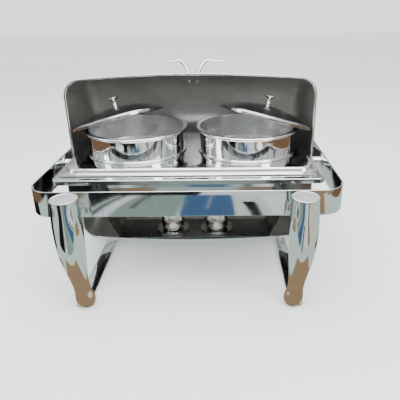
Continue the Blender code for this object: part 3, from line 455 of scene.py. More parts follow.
key_place = tree_vector(screw_tree, 0.0, 0.0, given.outputs["Head Height"])
keys = []
for turn in (0.0, math.pi / 3, 2 * math.pi / 3):
    key = screw_tree.nodes.new("GeometryNodeMeshCube")
    link(screw_tree, tree_vector(screw_tree, given.outputs["Key Length"],
                                 given.outputs["Key Width"], key_deep), key.inputs["Size"])
    keys.append(tree_moved(screw_tree, key.outputs["Mesh"], translation=key_place,
                           rotation=(0, 0, turn)))
carve = screw_tree.nodes.new("GeometryNodeMeshBoolean")
carve.operation = "DIFFERENCE"
link(screw_tree, dome, carve.inputs["Mesh 1"])
for tool in (half_space, *keys):
    link(screw_tree, tool, carve.inputs["Mesh 2"])
shank = screw_tree.nodes.new("GeometryNodeMeshCylinder")
shank.inputs["Vertices"].default_value = 24
link(screw_tree, given.outputs["Shank Radius"], shank.inputs["Radius"])
link(screw_tree, given.outputs["Shank Length"], shank.inputs["Depth"])
shank_place = tree_vector(screw_tree, 0.0, 0.0, tree_number(
    screw_tree, "MULTIPLY", given.outputs["Shank Length"], -0.5))
shank_shape = tree_moved(screw_tree, shank.outputs["Mesh"], translation=shank_place)
whole = screw_tree.nodes.new("GeometryNodeMeshBoolean")
whole.operation = "UNION"
link(screw_tree, carve.outputs["Mesh"], whole.inputs["Mesh 2"])
link(screw_tree, shank_shape, whole.inputs["Mesh 2"])
way = screw_tree.nodes.new("GeometryNodeInputNamedAttribute")
way.data_type = "FLOAT_VECTOR"
way.inputs["Name"].default_value = "way"
aim = screw_tree.nodes.new("FunctionNodeAlignRotationToVector")
aim.axis = "Z"
link(screw_tree, way.outputs["Attribute"], aim.inputs["Vector"])
put = screw_tree.nodes.new("GeometryNodeInstanceOnPoints")
link(screw_tree, given.outputs["Geometry"], put.inputs["Points"])
link(screw_tree, whole.outputs["Mesh"], put.inputs["Instance"])
link(screw_tree, aim.outputs["Rotation"], put.inputs["Rotation"])
finish_tree(screw_tree, put.outputs["Instances"], given.outputs["Material"])

leg_bolts = grown("leg_bolts", screw_tree, bolt_steel,
                  {"Head Radius": 0.0055, "Head Height": 0.003, "Shank Radius": 0.003,
                   "Shank Length": 0.012, "Key Width": 0.0018, "Key Length": 0.0032,
                   "Key Depth": 0.0014},
                  [((sx * leg_x, sy * 0.2317, 0.235), (0, -sy, 0))
                   for side, sx in SIDES for end, sy in ENDS])
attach(leg_bolts, "stand")
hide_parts(*["leg_bolt_" + end + "_" + side for side, sx in SIDES
                         for end, sy in ENDS])


# ------------------------------------------------------------------ runners and foot pads
# A flat polished strip on each side joins the front foot to the rear one.
# A black moulded pad under each foot holds the strip against the toe of the leg.
foot_x, foot_y = 0.2260, 0.2528
runner_x, runner_half, runner_reach = 0.2350, 0.0145, 0.2648
runner_low, runner_top = 0.002, 0.005
runner_steel = steel("mirror_steel_runners", (0.80, 0.81, 0.82), (0.66, 0.68, 0.69), 0.07, 0.16,
                     grain=(12, 900, 900), wave=0.0010, wave_size=6.0)


def rounded(half_x, half_y, corner, z, steps=14):
    """A rounded rectangle of points at height z."""
    corner = max(corner, 0.0006)
    points = []
    for quarter, (sx, sy) in enumerate(((1, 1), (-1, 1), (-1, -1), (1, -1))):
        for i in range(steps + 1):
            t = math.pi / 2 * (quarter + i / steps)
            points.append(Vector((sx * (half_x - corner) + corner * math.cos(t),
                                  sy * (half_y - corner) + corner * math.sin(t), z)))
    return points


def slab(half_x, half_y, corner, low, high, edge):
    """A flat plate whose edges are rounded off."""
    loops = []
    for inset, z in ((edge, low), (edge * 0.3, low + edge * 0.3), (0, low + edge),
                     (0, high - edge), (edge * 0.3, high - edge * 0.3), (edge, high)):
        loops.append(rounded(half_x - inset, half_y - inset, corner - inset, z))
    return skin(loops)


pad_rubber = bpy.data.materials.new("black_plastic_pads")
pad_rubber.use_nodes = True
pad_tree = pad_rubber.node_tree
pad_place = pad_tree.nodes.new("ShaderNodeTexCoord").outputs["Object"]
pad_shader = pad_tree.nodes["Principled BSDF"]
pad_colour = pad_tree.nodes.new("ShaderNodeMix")
pad_colour.data_type = "RGBA"
pad_colour.inputs["A"].default_value = (0.020, 0.020, 0.021, 1)
pad_colour.inputs["B"].default_value = (0.055, 0.054, 0.052, 1)
link(pad_tree, noise(pad_tree, pad_place, 90), pad_colour.inputs["Factor"])
link(pad_tree, pad_colour.outputs["Result"], pad_shader.inputs["Base Color"])
link(pad_tree, spread(pad_tree, noise(pad_tree, pad_place, 400), 0.3, 0.7, 0.45, 0.7),
     pad_shader.inputs["Roughness"])
link(pad_tree, raised(pad_tree, noise(pad_tree, pad_place, 900), 0.00005, 0.6),
     pad_shader.inputs["Normal"])

pad_profile = softened(((0.0002, 0), (0.0125, 0), (0.0125, 0.0017), (0.0040, 0.0017),
                        (0.0040, 0.0110), (0.0002, 0.0110)), 0.0004)
for side, sx in SIDES:
    piece("runner_" + side + "_strip",
          slab(runner_half, runner_reach, runner_half * 0.6, runner_low, runner_top, 0.0006),
          runner_steel, "stand", ["runner_" + side],
          Matrix.Translation((sx * runner_x, 0, 0)))
    for end, sy in ENDS:
        where = end + "_" + side
        piece("foot_pad_" + where, turned(pad_profile, 48), pad_rubber, "stand",
              ["foot_glide_" + where],
              Matrix.Translation((sx * foot_x, sy * foot_y, 0)))


# ------------------------------------------------------------------ pivot hardware
# From outside at each end: a domed bolt through the ring, a turned drum with a flange, a
# nylon washer, the cover, a nylon spacer and the bracket, with a nut inside the frame.
axis_z = 0.2412
bore = 0.0045
drum_steel = steel("mirror_steel_drums", (0.86, 0.87, 0.87), (0.76, 0.77, 0.77), 0.06, 0.14,
                   grain=(900, 60, 60), wave=0.0002)
nylon = bpy.data.materials.new("white_nylon_washers")
nylon.use_nodes = True
nylon_tree = nylon.node_tree
nylon_shader = nylon_tree.nodes["Principled BSDF"]
nylon_shader.inputs["Subsurface Weight"].default_value = 0.15
nylon_shader.inputs["Subsurface Radius"].default_value = (0.002, 0.002, 0.0018)
nylon_place = nylon_tree.nodes.new("ShaderNodeTexCoord").outputs["Object"]
nylon_colour = nylon_tree.nodes.new("ShaderNodeMix")
nylon_colour.data_type = "RGBA"
nylon_colour.inputs["A"].default_value = (0.86, 0.86, 0.83, 1)
nylon_colour.inputs["B"].default_value = (0.74, 0.73, 0.68, 1)
link(nylon_tree, noise(nylon_tree, nylon_place, 120), nylon_colour.inputs["Factor"])
link(nylon_tree, nylon_colour.outputs["Result"], nylon_shader.inputs["Base Color"])
link(nylon_tree, spread(nylon_tree, noise(nylon_tree, nylon_place, 500), 0.3, 0.7, 0.32, 0.5),
     nylon_shader.inputs["Roughness"])
link(nylon_tree, raised(nylon_tree, noise(nylon_tree, nylon_place, 700), 0.00004, 0.5),
     nylon_shader.inputs["Normal"])


def across(sx):
    """Turns a piece made about Z to lie along the cover's turning axis."""
    return Matrix.Translation((0, 0, axis_z)) @ Matrix.Rotation(sx * math.pi / 2, 4, "Y")


def sleeve(inner, outer, low, high, edge, steps=48):
    corners = ((inner, low), (outer, low), (outer, high), (inner, high))
    return turned(softened(corners, edge, closed=True), steps, closed=True)


for side, sx in SIDES:
    piece("pivot_" + side + "_washer", sleeve(bore, 0.0090, 0.2991, 0.3036, 0.0006), nylon,
          "stand", ["pivot_washer_" + side], across(sx))
    drum = softened(((bore, 0.3039), (0.0110, 0.3039), (0.0110, 0.3100), (0.0104, 0.3106),
                     (0.0110, 0.3112), (0.0110, 0.3252), (0.0195, 0.3252), (0.0195, 0.3277),
                     (bore, 0.3277)), 0.0008, closed=True)
    piece("pivot_" + side + "_drum", turned(drum, 64, closed=True), drum_steel, "stand",
          ["pivot_drum_" + side], across(sx))
    piece("pivot_" + side + "_spacer", sleeve(bore, 0.0085, 0.2800, 0.2975, 0.0006), nylon,
          "stand", ["pivot_spacer_" + side], across(sx))
    nut = turned(softened(((bore * 1.155, 0.2717), (0.0075, 0.2717), (0.0075, 0.2767),
                           (bore * 1.155, 0.2767)), 0.0003, closed=True), 6, closed=True)
    piece("pivot_" + side + "_nut", nut, bolt_steel, "stand",
          ["pivot_nut_" + side], across(sx), crease=20)

pivot_bolts = grown("pivot_bolts", screw_tree, bolt_steel,
                    {"Head Radius": 0.0105, "Head Height": 0.005, "Shank Radius": 0.004,
                     "Shank Length": 0.0606, "Key Width": 0.0030, "Key Length": 0.0052,
                     "Key Depth": 0.0026},
                    [((sx * 0.3313, 0, axis_z), (sx, 0, 0)) for side, sx in SIDES])
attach(pivot_bolts, "stand")
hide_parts("pivot_bolt_left", "pivot_bolt_right")


# ------------------------------------------------------------------ top frame
# A pressed rim of stainless sheet round the pan, with its outer edge turned down and a
# skirt inside.  It hangs on the end brackets and carries the pan's flange.
frame_half_x, frame_half_y = 0.296, 0.180
frame_top, frame_lip, skirt_low = 0.2655, 0.2545, 0.2255
frame_sheet = 0.0012
skirt_x, skirt_y = 0.2782, 0.1282
frame_corner = 0.014
frame_steel = steel("mirror_steel_frame", (0.88, 0.89, 0.90), (0.76, 0.78, 0.80), 0.07, 0.16,
                    grain=(10, 800, 800), wave=0.0008, wave_size=8.0)


def frame_loop(inset, side_z):
    """A loop of the frame, inset from its outer edge by x and y."""
    along, deep = inset
    return rounded(frame_half_x - along, frame_half_y - deep,
                   max(frame_corner - along * 0.5, 0.005), side_z, 18)


def bent(points, radius, steps=6):
    """(x inset, y inset, z) points with each bend rounded."""
    result = []
    for i in range(len(points)):
        if i in (0, len(points) - 1):
            result.append(points[i])
            continue
        here = Vector(points[i])
        back, on = Vector(points[i - 1]) - here, Vector(points[i + 1]) - here
        reach = min(radius, back.length * 0.45, on.length * 0.45)
        start, end = here + back.normalized() * reach, here + on.normalized() * reach
        for k in range(steps + 1):
            t = k / steps
            result.append(tuple(start * (1 - t) ** 2 + here * 2 * t * (1 - t) + end * t * t))
    return result


skirt_in = (frame_half_x - skirt_x, frame_half_y - skirt_y)
outside = bent([(0, 0, frame_lip), (0, 0, frame_top),
                (skirt_in[0] + frame_sheet, skirt_in[1] + frame_sheet, frame_top),
                (skirt_in[0] + frame_sheet, skirt_in[1] + frame_sheet, skirt_low)], 0.0026)
inside = bent([(skirt_in[0], skirt_in[1], skirt_low),
               (skirt_in[0], skirt_in[1], frame_top - frame_sheet),
               (frame_sheet, frame_sheet, frame_top - frame_sheet),
               (frame_sheet, frame_sheet, frame_lip)], 0.0018)
piece("top_frame_rim", skin([frame_loop((a, b), z) for a, b, z in outside + inside],
                            closed=True),
      frame_steel, "stand", ["top_frame"])


# ------------------------------------------------------------------ end brackets
# A folded channel of mill-finish sheet at each end, coloured dark as painted shade.  The pivot
# bolt passes through it; it carries the frame above and the fuel shelf below, and two screws hold
# each front arm.
bracket_sheet = 0.0012
bracket_half_x, bracket_half_y = 0.2797, 0.1297
bracket_inner = bracket_half_x - 0.086
bracket_low, bracket_top = 0.1675, 0.2640
# The brackets' dark base colour is painted shade, standing in for the dark reflections under the
# ring and frame.
bracket_steel_painted_shade = steel("steel_brackets_painted_shade", (0.26, 0.27, 0.27), (0.13, 0.135, 0.135), 0.10, 0.22,
                      grain=(14, 14, 900), wave=0.0012, wave_size=6.0, marks=0.12)


def extruded(outline, direction):
    """A flat outline pulled along a direction."""
    body = bmesh.new()
    near = [body.verts.new(p) for p in outline]
    far = [body.verts.new(Vector(p) + Vector(direction)) for p in outline]
    body.faces.new(near)
    body.faces.new(list(reversed(far)))
    for i in range(len(near)):
        j = (i + 1) % len(near)
        body.faces.new((near[i], far[i], far[j], near[j]))
    return body


def folded(path, sheet, radius, steps=8):
    """Outline of a sheet whose outer side follows path, with round bends."""
    outer = softened(path, radius + sheet, steps)
    inner = []
    for i, (a, b) in enumerate(outer):
        before = Vector(outer[max(i - 1, 0)])
        after = Vector(outer[min(i + 1, len(outer) - 1)])
        along = (after - before).normalized()
        inner.append((a - along.y * sheet, b + along.x * sheet))
    return outer, inner


for side, sx in SIDES:
    path = ((bracket_inner, -bracket_half_y), (bracket_half_x, -bracket_half_y),
            (bracket_half_x, bracket_half_y), (bracket_inner, bracket_half_y))
    outer, inner = folded(path, bracket_sheet, 0.0016)
    outline = [Vector((sx * a, b, bracket_low)) for a, b in outer + list(reversed(inner))]
    piece("end_bracket_" + side + "_channel", extruded(outline, (0, 0, bracket_top - bracket_low)),
          bracket_steel_painted_shade, "stand", ["end_bracket_" + side])

bracket_screws = grown("bracket_screws", screw_tree, bolt_steel,
                       {"Head Radius": 0.0042, "Head Height": 0.0022, "Shank Radius": 0.002,
                        "Shank Length": 0.0045, "Key Width": 0.0009, "Key Length": 0.0046,
                        "Key Depth": 0.0010},
                       [((sx * x, -0.1300, 0.2365), (0, -1, 0))
                        for side, sx in SIDES for x in (0.2417, 0.2077)])
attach(bracket_screws, "stand")
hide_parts(*["bracket_screw_%s_%d" % (side, number) for side, sx in SIDES
                              for number in (1, 2)])


# ------------------------------------------------------------------ fuel shelf
# One strip of mill-finish sheet folded to a trough and welded between the end brackets, coloured
# dark as painted shade.
# The burners' saucers stand on its floor.
shelf_sheet, shelf_half_depth = 0.0012, 0.050
# The shelf's dark base colour is painted shade for the hollow under the pan.
shelf_steel_painted_shade = steel("steel_shelf_painted_shade", (0.30, 0.30, 0.30), (0.17, 0.17, 0.17), 0.18, 0.34,
                    grain=(900, 14, 900), wave=0.0012, wave_size=7.0, marks=0.12)
path = ((-0.2782, 0.1750), (-0.2782, 0.1518), (-0.2430, 0.1518), (-0.1965, 0.0488),
        (0.1965, 0.0488), (0.2430, 0.1518), (0.2782, 0.1518), (0.2782, 0.1750))
outer, inner = folded(path, shelf_sheet, 0.0020)
outline = [Vector((a, -shelf_half_depth, b)) for a, b in outer + list(reversed(inner))]
piece("fuel_shelf_trough", extruded(outline, (0, 2 * shelf_half_depth, 0)), shelf_steel_painted_shade,
      "stand", ["fuel_shelf"])


# ------------------------------------------------------------------ fuel burners
# Each burner is a pressed saucer, a spun steel cup for fuel gel, and a snuffer with a
# small knob that closes the cup.
burner_x = 0.059
shelf_floor, cup_low = 0.0500, 0.0518
cup_radius, cup_height, cup_round, cup_sheet = 0.031, 0.050, 0.014, 0.001
saucer_radius = 0.043
burner_steel = steel("mirror_steel_burners", (0.88, 0.88, 0.86), (0.72, 0.71, 0.68), 0.05, 0.14,
                     grain=(60, 60, 900), wave=0.0004, wave_size=14.0)


def arc(a, b, radius, start, end, steps=10):
    points = []
    for i in range(steps + 1):
        t = math.radians(start + (end - start) * i / steps)
        points.append((a + radius * math.cos(t), b + radius * math.sin(t)))
    return points


saucer_low = shelf_floor + 0.0003
saucer = softened(((0.0002, saucer_low), (saucer_radius - 0.0014, saucer_low),
                   (saucer_radius, saucer_low + 0.004), (saucer_radius - 0.0012, saucer_low + 0.004),
                   (saucer_radius - 0.0026, saucer_low + 0.0012), (0.0002, saucer_low + 0.0012)),
                  0.0007)
cup = [(0.0002, 0), *arc(cup_radius - cup_round, cup_round, cup_round, -90, 0)]
cup += [(cup_radius, 0.0300), (cup_radius + 0.0004, 0.0306), (cup_radius + 0.0004, 0.0322),
        (cup_radius, 0.0328), (cup_radius, cup_height - 0.0004), (cup_radius - 0.0004, cup_height),
        (cup_radius - cup_sheet, cup_height)]
cup += arc(cup_radius - cup_round, cup_round, cup_round - cup_sheet, 0, -90)
cup += [(0.0002, cup_sheet)]
lid_low = cup_height + 0.0003
lid_edge = cup_radius + 0.0015
snuffer = softened(((0.0002, lid_low), (cup_radius + 0.0003, lid_low),
                    (cup_radius + 0.0003, lid_low - 0.006), (lid_edge, lid_low - 0.006),
                    (lid_edge, lid_low + 0.001), (lid_edge * 0.8, lid_low + 0.0040),
                    (lid_edge * 0.45, lid_low + 0.0062), (0.0042, lid_low + 0.0070),
                    (0.0036, lid_low + 0.0098), (0.0068, lid_low + 0.0112),
                    (0.0068, lid_low + 0.0150), (0.0040, lid_low + 0.0168),
                    (0.0002, lid_low + 0.0170)), 0.0009)
for side, sx in SIDES:
    piece("burner_" + side + "_saucer", turned(saucer), burner_steel, "stand",
          ["burner_saucer_" + side], Matrix.Translation((sx * burner_x, 0, 0)))
    stand_on = Matrix.Translation((sx * burner_x, 0, cup_low))
    piece("burner_" + side + "_cup", turned(cup), burner_steel, "burner_" + side,
          ["burner_cup_" + side], stand_on)
    piece("burner_" + side + "_snuffer", turned(snuffer), burner_steel, "snuffer_" + side,
          ["burner_snuffer_" + side], stand_on)


# ------------------------------------------------------------------ water pan
# A deep-drawn stainless pan.  Its flange lies on the top frame, and hot water in it
# surrounds the lower halves of both pots.
pan_flange_x, pan_flange_y, pan_top = 0.2880, 0.1600, 0.2670
pan_sheet = 0.0012
pan_wall_x, pan_wall_y = 0.2720, 0.1220
pan_low, pan_round, pan_taper = 0.1690, 0.0100, 0.0060
pan_corner, flange_corner = 0.030, 0.012
# The pan's base colour is darkened as painted shade on its wall under the plate and ring.
pan_steel_painted_shade = steel("satin_steel_pan_painted_shade", (0.66, 0.67, 0.68), (0.42, 0.44, 0.44), 0.12, 0.26,
                  grain=(10, 700, 700), wave=0.0012, wave_size=7.0)


def pan_side(inset, low, top):
    """Points (x inset from the flange, z) from the bottom up the wall to the flange."""
    foot = pan_flange_x - (pan_wall_x - pan_taper) + inset
    wall = pan_flange_x - pan_wall_x + inset
    points = [(foot + 0.060, low)]
    points += [(foot + pan_round * (1 - math.sin(math.radians(a))),
                low + pan_round * (1 - math.cos(math.radians(a)))) for a in range(0, 91, 10)]
    points += [(wall + 0.001, top - 0.004), (wall - 0.0004, top - 0.0012), (wall - 0.0030, top)]
    return points


def pan_loop(inset, z):
    extra = pan_flange_y - pan_wall_y - (pan_flange_x - pan_wall_x)
    share = min(inset / (pan_flange_x - pan_wall_x), 1.0)
    return rounded(pan_flange_x - inset, pan_flange_y - inset - extra * share,
                   flange_corner + (pan_corner - flange_corner) * min(share * 1.3, 1.0), z, 18)


lower = [pan_loop(a, z) for a, z in pan_side(0, pan_low, pan_top - pan_sheet)]
upper = [pan_loop(a, z) for a, z in pan_side(pan_sheet, pan_low + pan_sheet, pan_top)]
rim_loops = [pan_loop(0, pan_top - pan_sheet * 0.7), pan_loop(0, pan_top - pan_sheet * 0.3)]
piece("water_pan_body", skin(lower + [pan_loop(0.0004, pan_top - pan_sheet)] + rim_loops
                             + [pan_loop(0.0004, pan_top)] + list(reversed(upper))),
      pan_steel_painted_shade, "water_pan", ["water_pan"])


# ------------------------------------------------------------------ adaptor plate
# A raised plate of polished sheet that turns the pan into a soup station.  It covers the
# pan, and each of its two round holes holds a pot by the collar.
plate_half_x, plate_half_y = 0.2770, 0.1430
plate_slope = 0.005
plate_flange_x, plate_flange_y = 0.2880, 0.1600
plate_low, plate_top, plate_sheet = 0.2683, 0.2780, 0.001
pot_x, hole_radius = 0.1365, 0.1163
plate_steel = steel("mirror_steel_plate", (0.86, 0.87, 0.89), (0.74, 0.76, 0.79), 0.045, 0.13,
                    grain=(10, 700, 700), wave=0.0010, wave_size=6.0)


def plate_loops(drop, inset):
    """From the raised top out over its slope to the flange, inset by the sheet or not."""
    rise = plate_top - plate_low
    shape = ((-0.0030, 0.0), (-0.0012, -0.0003), (0.0006, -0.0012), (0.0020, -0.0030),
             (0.0032, -rise + 0.0026), (0.0044, -rise + 0.0009), (0.0062, -rise + 0.0001))
    return [rounded(plate_half_x + out - inset, plate_half_y + out - inset,
                    0.031 + out - inset, plate_top + down - drop, 18) for out, down in shape]


top_side = plate_loops(0, 0)
under_side = plate_loops(plate_sheet, plate_sheet * 0.8)
rim = [rounded(plate_flange_x - inset, plate_flange_y - inset, flange_corner - inset,
               plate_low - plate_sheet * share, 18)
       for inset, share in ((0.0005, 0.0), (0.0, 0.35), (0.0, 0.65), (0.0005, 1.0))]
plate = piece("adaptor_plate_sheet", skin(top_side + rim + list(reversed(under_side))),
              plate_steel, "adaptor_plate", ["adaptor_plate"])
for side, sx in SIDES:
    punch_body = skin([circle(hole_radius, plate_top - 0.02, 128, sx * pot_x),
                       circle(hole_radius, plate_top + 0.02, 128, sx * pot_x)])
    punch_mesh = bpy.data.meshes.new("punch")
    bmesh.ops.recalc_face_normals(punch_body, faces=punch_body.faces)
    punch_body.to_mesh(punch_mesh)
    punch_body.free()
    punch = bpy.data.objects.new("punch", punch_mesh)
    bpy.context.scene.collection.objects.link(punch)
    hole = plate.modifiers.new("hole", "BOOLEAN")
    hole.operation = "DIFFERENCE"
    hole.object = punch
    bpy.context.view_layer.update()
    seen = plate.evaluated_get(bpy.context.evaluated_depsgraph_get())
    bored = bpy.data.meshes.new_from_object(seen)
    plate.modifiers.remove(hole)
    plate.data = bored
    bpy.data.objects.remove(punch)
plate.data.shade_smooth()
plate.data.set_sharp_from_angle(angle=math.radians(30))


# ------------------------------------------------------------------ soup pots
# Two spun stainless pots: polished outside, satin inside.  A rolled rim tops the wall, and
# a bead pressed out of the wall is the collar that rests on the plate.
pot_rim_radius, pot_wall, pot_inner = 0.1255, 0.1155, 0.1145
pot_low, pot_collar, pot_top = -0.085, 0.0003, 0.060
pot_outside = [steel("mirror_steel_pot_" + side, (0.90, 0.90, 0.91), (0.80, 0.81, 0.83),
                     0.035, 0.09, grain=(20, 20, 900), wave=0.0010, wave_size=9.0,
                     spun=(sx * pot_x, 0, 0)) for side, sx in SIDES]
pot_inside = [steel("satin_steel_pot_" + side, (0.94, 0.94, 0.94), (0.80, 0.81, 0.82),
                    0.22, 0.32, grain=(900, 20, 900), wave=0.0006, wave_size=9.0, marks=0.10,
                    spun=(sx * pot_x, 0, 0)) for side, sx in SIDES]

shell = [(0.0002, pot_low), *arc(pot_wall - 0.008, pot_low + 0.008, 0.008, -90, 0, 8)]
shell += [(pot_wall, pot_collar - 0.0004), (pot_wall + 0.0006, pot_collar)]
shell += arc(pot_wall + 0.0040, pot_collar + 0.0020, 0.0020, -90, 90, 10)
shell += [(pot_wall + 0.0006, pot_collar + 0.0040), (pot_wall, pot_collar + 0.0048)]
shell += [(pot_wall, pot_collar + 0.0048 + (pot_top - 0.0075 - 0.0051) * i / 6)
          for i in range(1, 7)]
shell += [(pot_rim_radius - 0.0040, pot_top - 0.0075)]
shell += arc(pot_rim_radius - 0.0036, pot_top - 0.0037, 0.0036, -80, 90, 12)
outside_count = len(shell)
shell += [(pot_inner + 0.0025, pot_top), *arc(pot_inner + 0.0015, pot_top - 0.0015, 0.0015,
                                             90, 180, 5)]
shell += [(pot_inner, pot_collar + 0.0060), (pot_inner + 0.0014, pot_collar + 0.0042),
          (pot_inner + 0.0030, pot_collar + 0.0034), (pot_inner + 0.0030, pot_collar + 0.0012),
          (pot_inner + 0.0010, pot_collar + 0.0004), (pot_inner, pot_collar - 0.0012)]
shell += arc(pot_wall - 0.008, pot_low + 0.008, 0.007, 0, -90, 8)
shell += [(0.0002, pot_low + 0.001)]
faces_in = [0 if i < outside_count + 3 else 1 for i in range(len(shell))]
for number, (side, sx) in enumerate(SIDES):
    piece("pot_" + side + "_body", turned(shell, 128, materials=faces_in),
          (pot_outside[number], pot_inside[number]), "pot_" + side,
          ["pot_" + side], Matrix.Translation((sx * pot_x, 0, plate_top)))


# ------------------------------------------------------------------ pot lids
# Spun domed lids with a straight polished band.  Each was put down leaning on its pot's
# rim.  A turned knob is held on top by its stem.
lid_middle = (0.1815, 0.0206, 0.34739)
lid_axis = (0.277, 0.214, 1.0)
lid_radius, lid_sheet, lid_band, lid_dome = 0.1172, 0.001, 0.007, 0.034
lid_steel = [steel("mirror_steel_lid_" + side, (0.72, 0.74, 0.76), (0.58, 0.60, 0.63),
                   0.06, 0.13, grain=(900, 20, 900), wave=0.0006, wave_size=8.0,
                   spun=(sx * lid_middle[0], 0, 0)) for side, sx in SIDES]
knob_steel = steel("mirror_steel_knobs", (0.90, 0.90, 0.90), (0.80, 0.80, 0.80), 0.04, 0.09,
                   grain=(500, 500, 500), wave=0.0002)
start = lid_radius - 0.006
dome = [(start * i / 22, lid_band + 0.002 + (lid_dome - lid_band - 0.002) * (1 - (i / 22) ** 2))
        for i in range(22, 0, -1)]
over = softened([(lid_radius - lid_sheet, 0.0004), (lid_radius - lid_sheet * 0.5, 0),
                 (lid_radius, 0.0004), (lid_radius, lid_band - 0.0012),
                 (lid_radius - 0.0012, lid_band), (dome[0][0] + 0.0012, lid_band + 0.0006)],
                0.0008) + dome + [(0.0002, lid_dome)]
under = [(0.0002, lid_dome - lid_sheet)]
under += [(r * (start - lid_sheet) / start, z - lid_sheet) for r, z in reversed(dome)]
under += [(lid_radius - 0.0026, lid_band - lid_sheet),
          (lid_radius - lid_sheet, lid_band - 0.0026)]
knob_profile = softened(((0.0002, 0), (0.0085, 0), (0.0085, 0.0012), (0.0060, 0.0044),
                         (0.0052, 0.0090), (0.0056, 0.0155), (0.0108, 0.0190),
                         (0.0150, 0.0200), (0.0155, 0.0214), (0.0146, 0.0228),
                         (0.0100, 0.0238), (0.0002, 0.0240)), 0.0012)
for number, (side, sx) in enumerate(SIDES):
    axis = Vector((sx * lid_axis[0], lid_axis[1], lid_axis[2])).normalized()
    centre = Vector((sx * lid_middle[0], lid_middle[1], lid_middle[2]))
    turn = axis.to_track_quat("Z", "Y").to_matrix().to_4x4()
    piece("pot_lid_" + side + "_dome", turned(under + over, 128), lid_steel[number],
          "lid_" + side, ["pot_lid_" + side], Matrix.Translation(centre) @ turn)
    piece("pot_lid_" + side + "_knob", turned(knob_profile, 64), knob_steel, "lid_" + side,
          ["lid_knob_" + side],
          Matrix.Translation(centre + axis * (lid_dome + 0.0003)) @ turn)


# ------------------------------------------------------------------ roll-top cover
# A half drum of one stainless sheet with flat ends: mirror outside, satin inside.  It
# turns right under the pan on its two pivots, and a rolled hem stiffens its open side.
cover_half_x, cover_radius, cover_sheet = 0.2988, 0.2208, 0.001
cover_corner, cover_crown, cover_ahead = 0.038, 0.011, 0.010
cover_outside = steel("mirror_steel_cover", (0.86, 0.87, 0.88), (0.74, 0.76, 0.78), 0.04, 0.11,
                      grain=(12, 700, 700), wave=0.0016, wave_size=4.0)
cover_inside = steel("satin_steel_cover", (0.80, 0.80, 0.77), (0.55, 0.555, 0.54), 0.26, 0.40,
                     grain=(8, 900, 900), grain_depth=0.00004, wave=0.0020, wave_size=4.0,
                     marks=0.10)


def cover_line(half_x, radius, corner):
    """The cover's outline from its left end to its right, (x, distance from the axis)."""
    shoulder = half_x - corner
    low = radius - cover_crown
    right = [(half_x, low - corner)]
    right += arc(shoulder, low - corner, corner, 4, 82, 16)
    right += [(shoulder * t / 10, radius - cover_crown * (t / 10) ** 2) for t in range(10, 0, -1)]
    left = [(-x, rho) for x, rho in right]
    ends = [(half_x, 0.0)] + [(half_x, (low - corner) * t / 5) for t in range(1, 5)]
    return ([(-x, rho) for x, rho in ends] + left + [(0.0, radius)]
            + list(reversed(right)) + list(reversed(ends)))


def drum_rows(half_x, radius, corner):
    line = cover_line(half_x, radius, corner)
    rows = [[Vector((x, -cover_ahead, rho)) for x, rho in line]]
    for i in range(97):
        t = math.pi * i / 96
        rows.append([Vector((x, rho * math.sin(t), rho * math.cos(t))) for x, rho in line])
    rows.append([Vector((x, -cover_ahead, -rho)) for x, rho in line])
    return rows


body = bmesh.new()
outer_rows = [[body.verts.new(p) for p in row]
              for row in drum_rows(cover_half_x, cover_radius, cover_corner)]
inner_rows = [[body.verts.new(p) for p in row]
              for row in drum_rows(cover_half_x - cover_sheet, cover_radius - cover_sheet,
                                   cover_corner - cover_sheet)]
strips = [(a, b, 0) for a, b in zip(outer_rows, outer_rows[1:])]
strips += [(b, a, 1) for a, b in zip(inner_rows, inner_rows[1:])]
strips += [(inner_rows[0], outer_rows[0], 0), (outer_rows[-1], inner_rows[-1], 0)]
for a, b, kind in strips:
    for i in range(len(a) - 1):
        face = body.faces.new((a[i], a[i + 1], b[i + 1], b[i]))
        face.material_index = kind
bmesh.ops.remove_doubles(body, verts=body.verts, dist=1e-6)
bmesh.ops.dissolve_degenerate(body, edges=body.edges, dist=1e-6)
at_axis = Matrix.Translation((0, 0, axis_z))
piece("cover_drum", body, (cover_outside, cover_inside), "cover",
      ["cover_shell"], at_axis)


# ------------------------------------------------------------------ cover hem
# The edge of the cover's open side, rolled over to a bright rounded bead.
hem_inner_x, hem_inner_radius = 0.2978, 0.2198
hem_width, hem_back, hem_front = 0.0048, -0.0103, -0.0133
hem_steel = steel("mirror_steel_hem", (0.90, 0.91, 0.91), (0.80, 0.81, 0.82), 0.10, 0.20,
                  grain=(900, 900, 900), wave=0.0002)


def hem_loop(out, y):
    line = cover_line(hem_inner_x + out, hem_inner_radius + out, cover_corner - cover_sheet + out)
    line = line[5:-5]
    high = [Vector((x, y, rho)) for x, rho in line]
    return high + [Vector((x, y, -rho)) for x, rho in reversed(line)]


hem_middle = (hem_back + hem_front) / 2
hem_section = [(0.0006, hem_back), (hem_width * 0.5, hem_back), (hem_width - 0.0006, hem_back)]
hem_section += [(hem_width - 0.0015 + 0.0015 * math.sin(math.radians(a)),
                 hem_middle + 0.0015 * math.cos(math.radians(a))) for a in range(30, 181, 25)]
hem_section += [(hem_width * 0.5, hem_front + 0.0001)]
hem_section += [(0.0015 + 0.0015 * math.sin(math.radians(a)),
                 hem_middle + 0.0015 * math.cos(math.radians(a))) for a in range(180, 331, 25)]
piece("cover_hem", skin([hem_loop(a, y) for a, y in hem_section], closed=True), hem_steel,
      "cover", ["cover_rim"], at_axis)


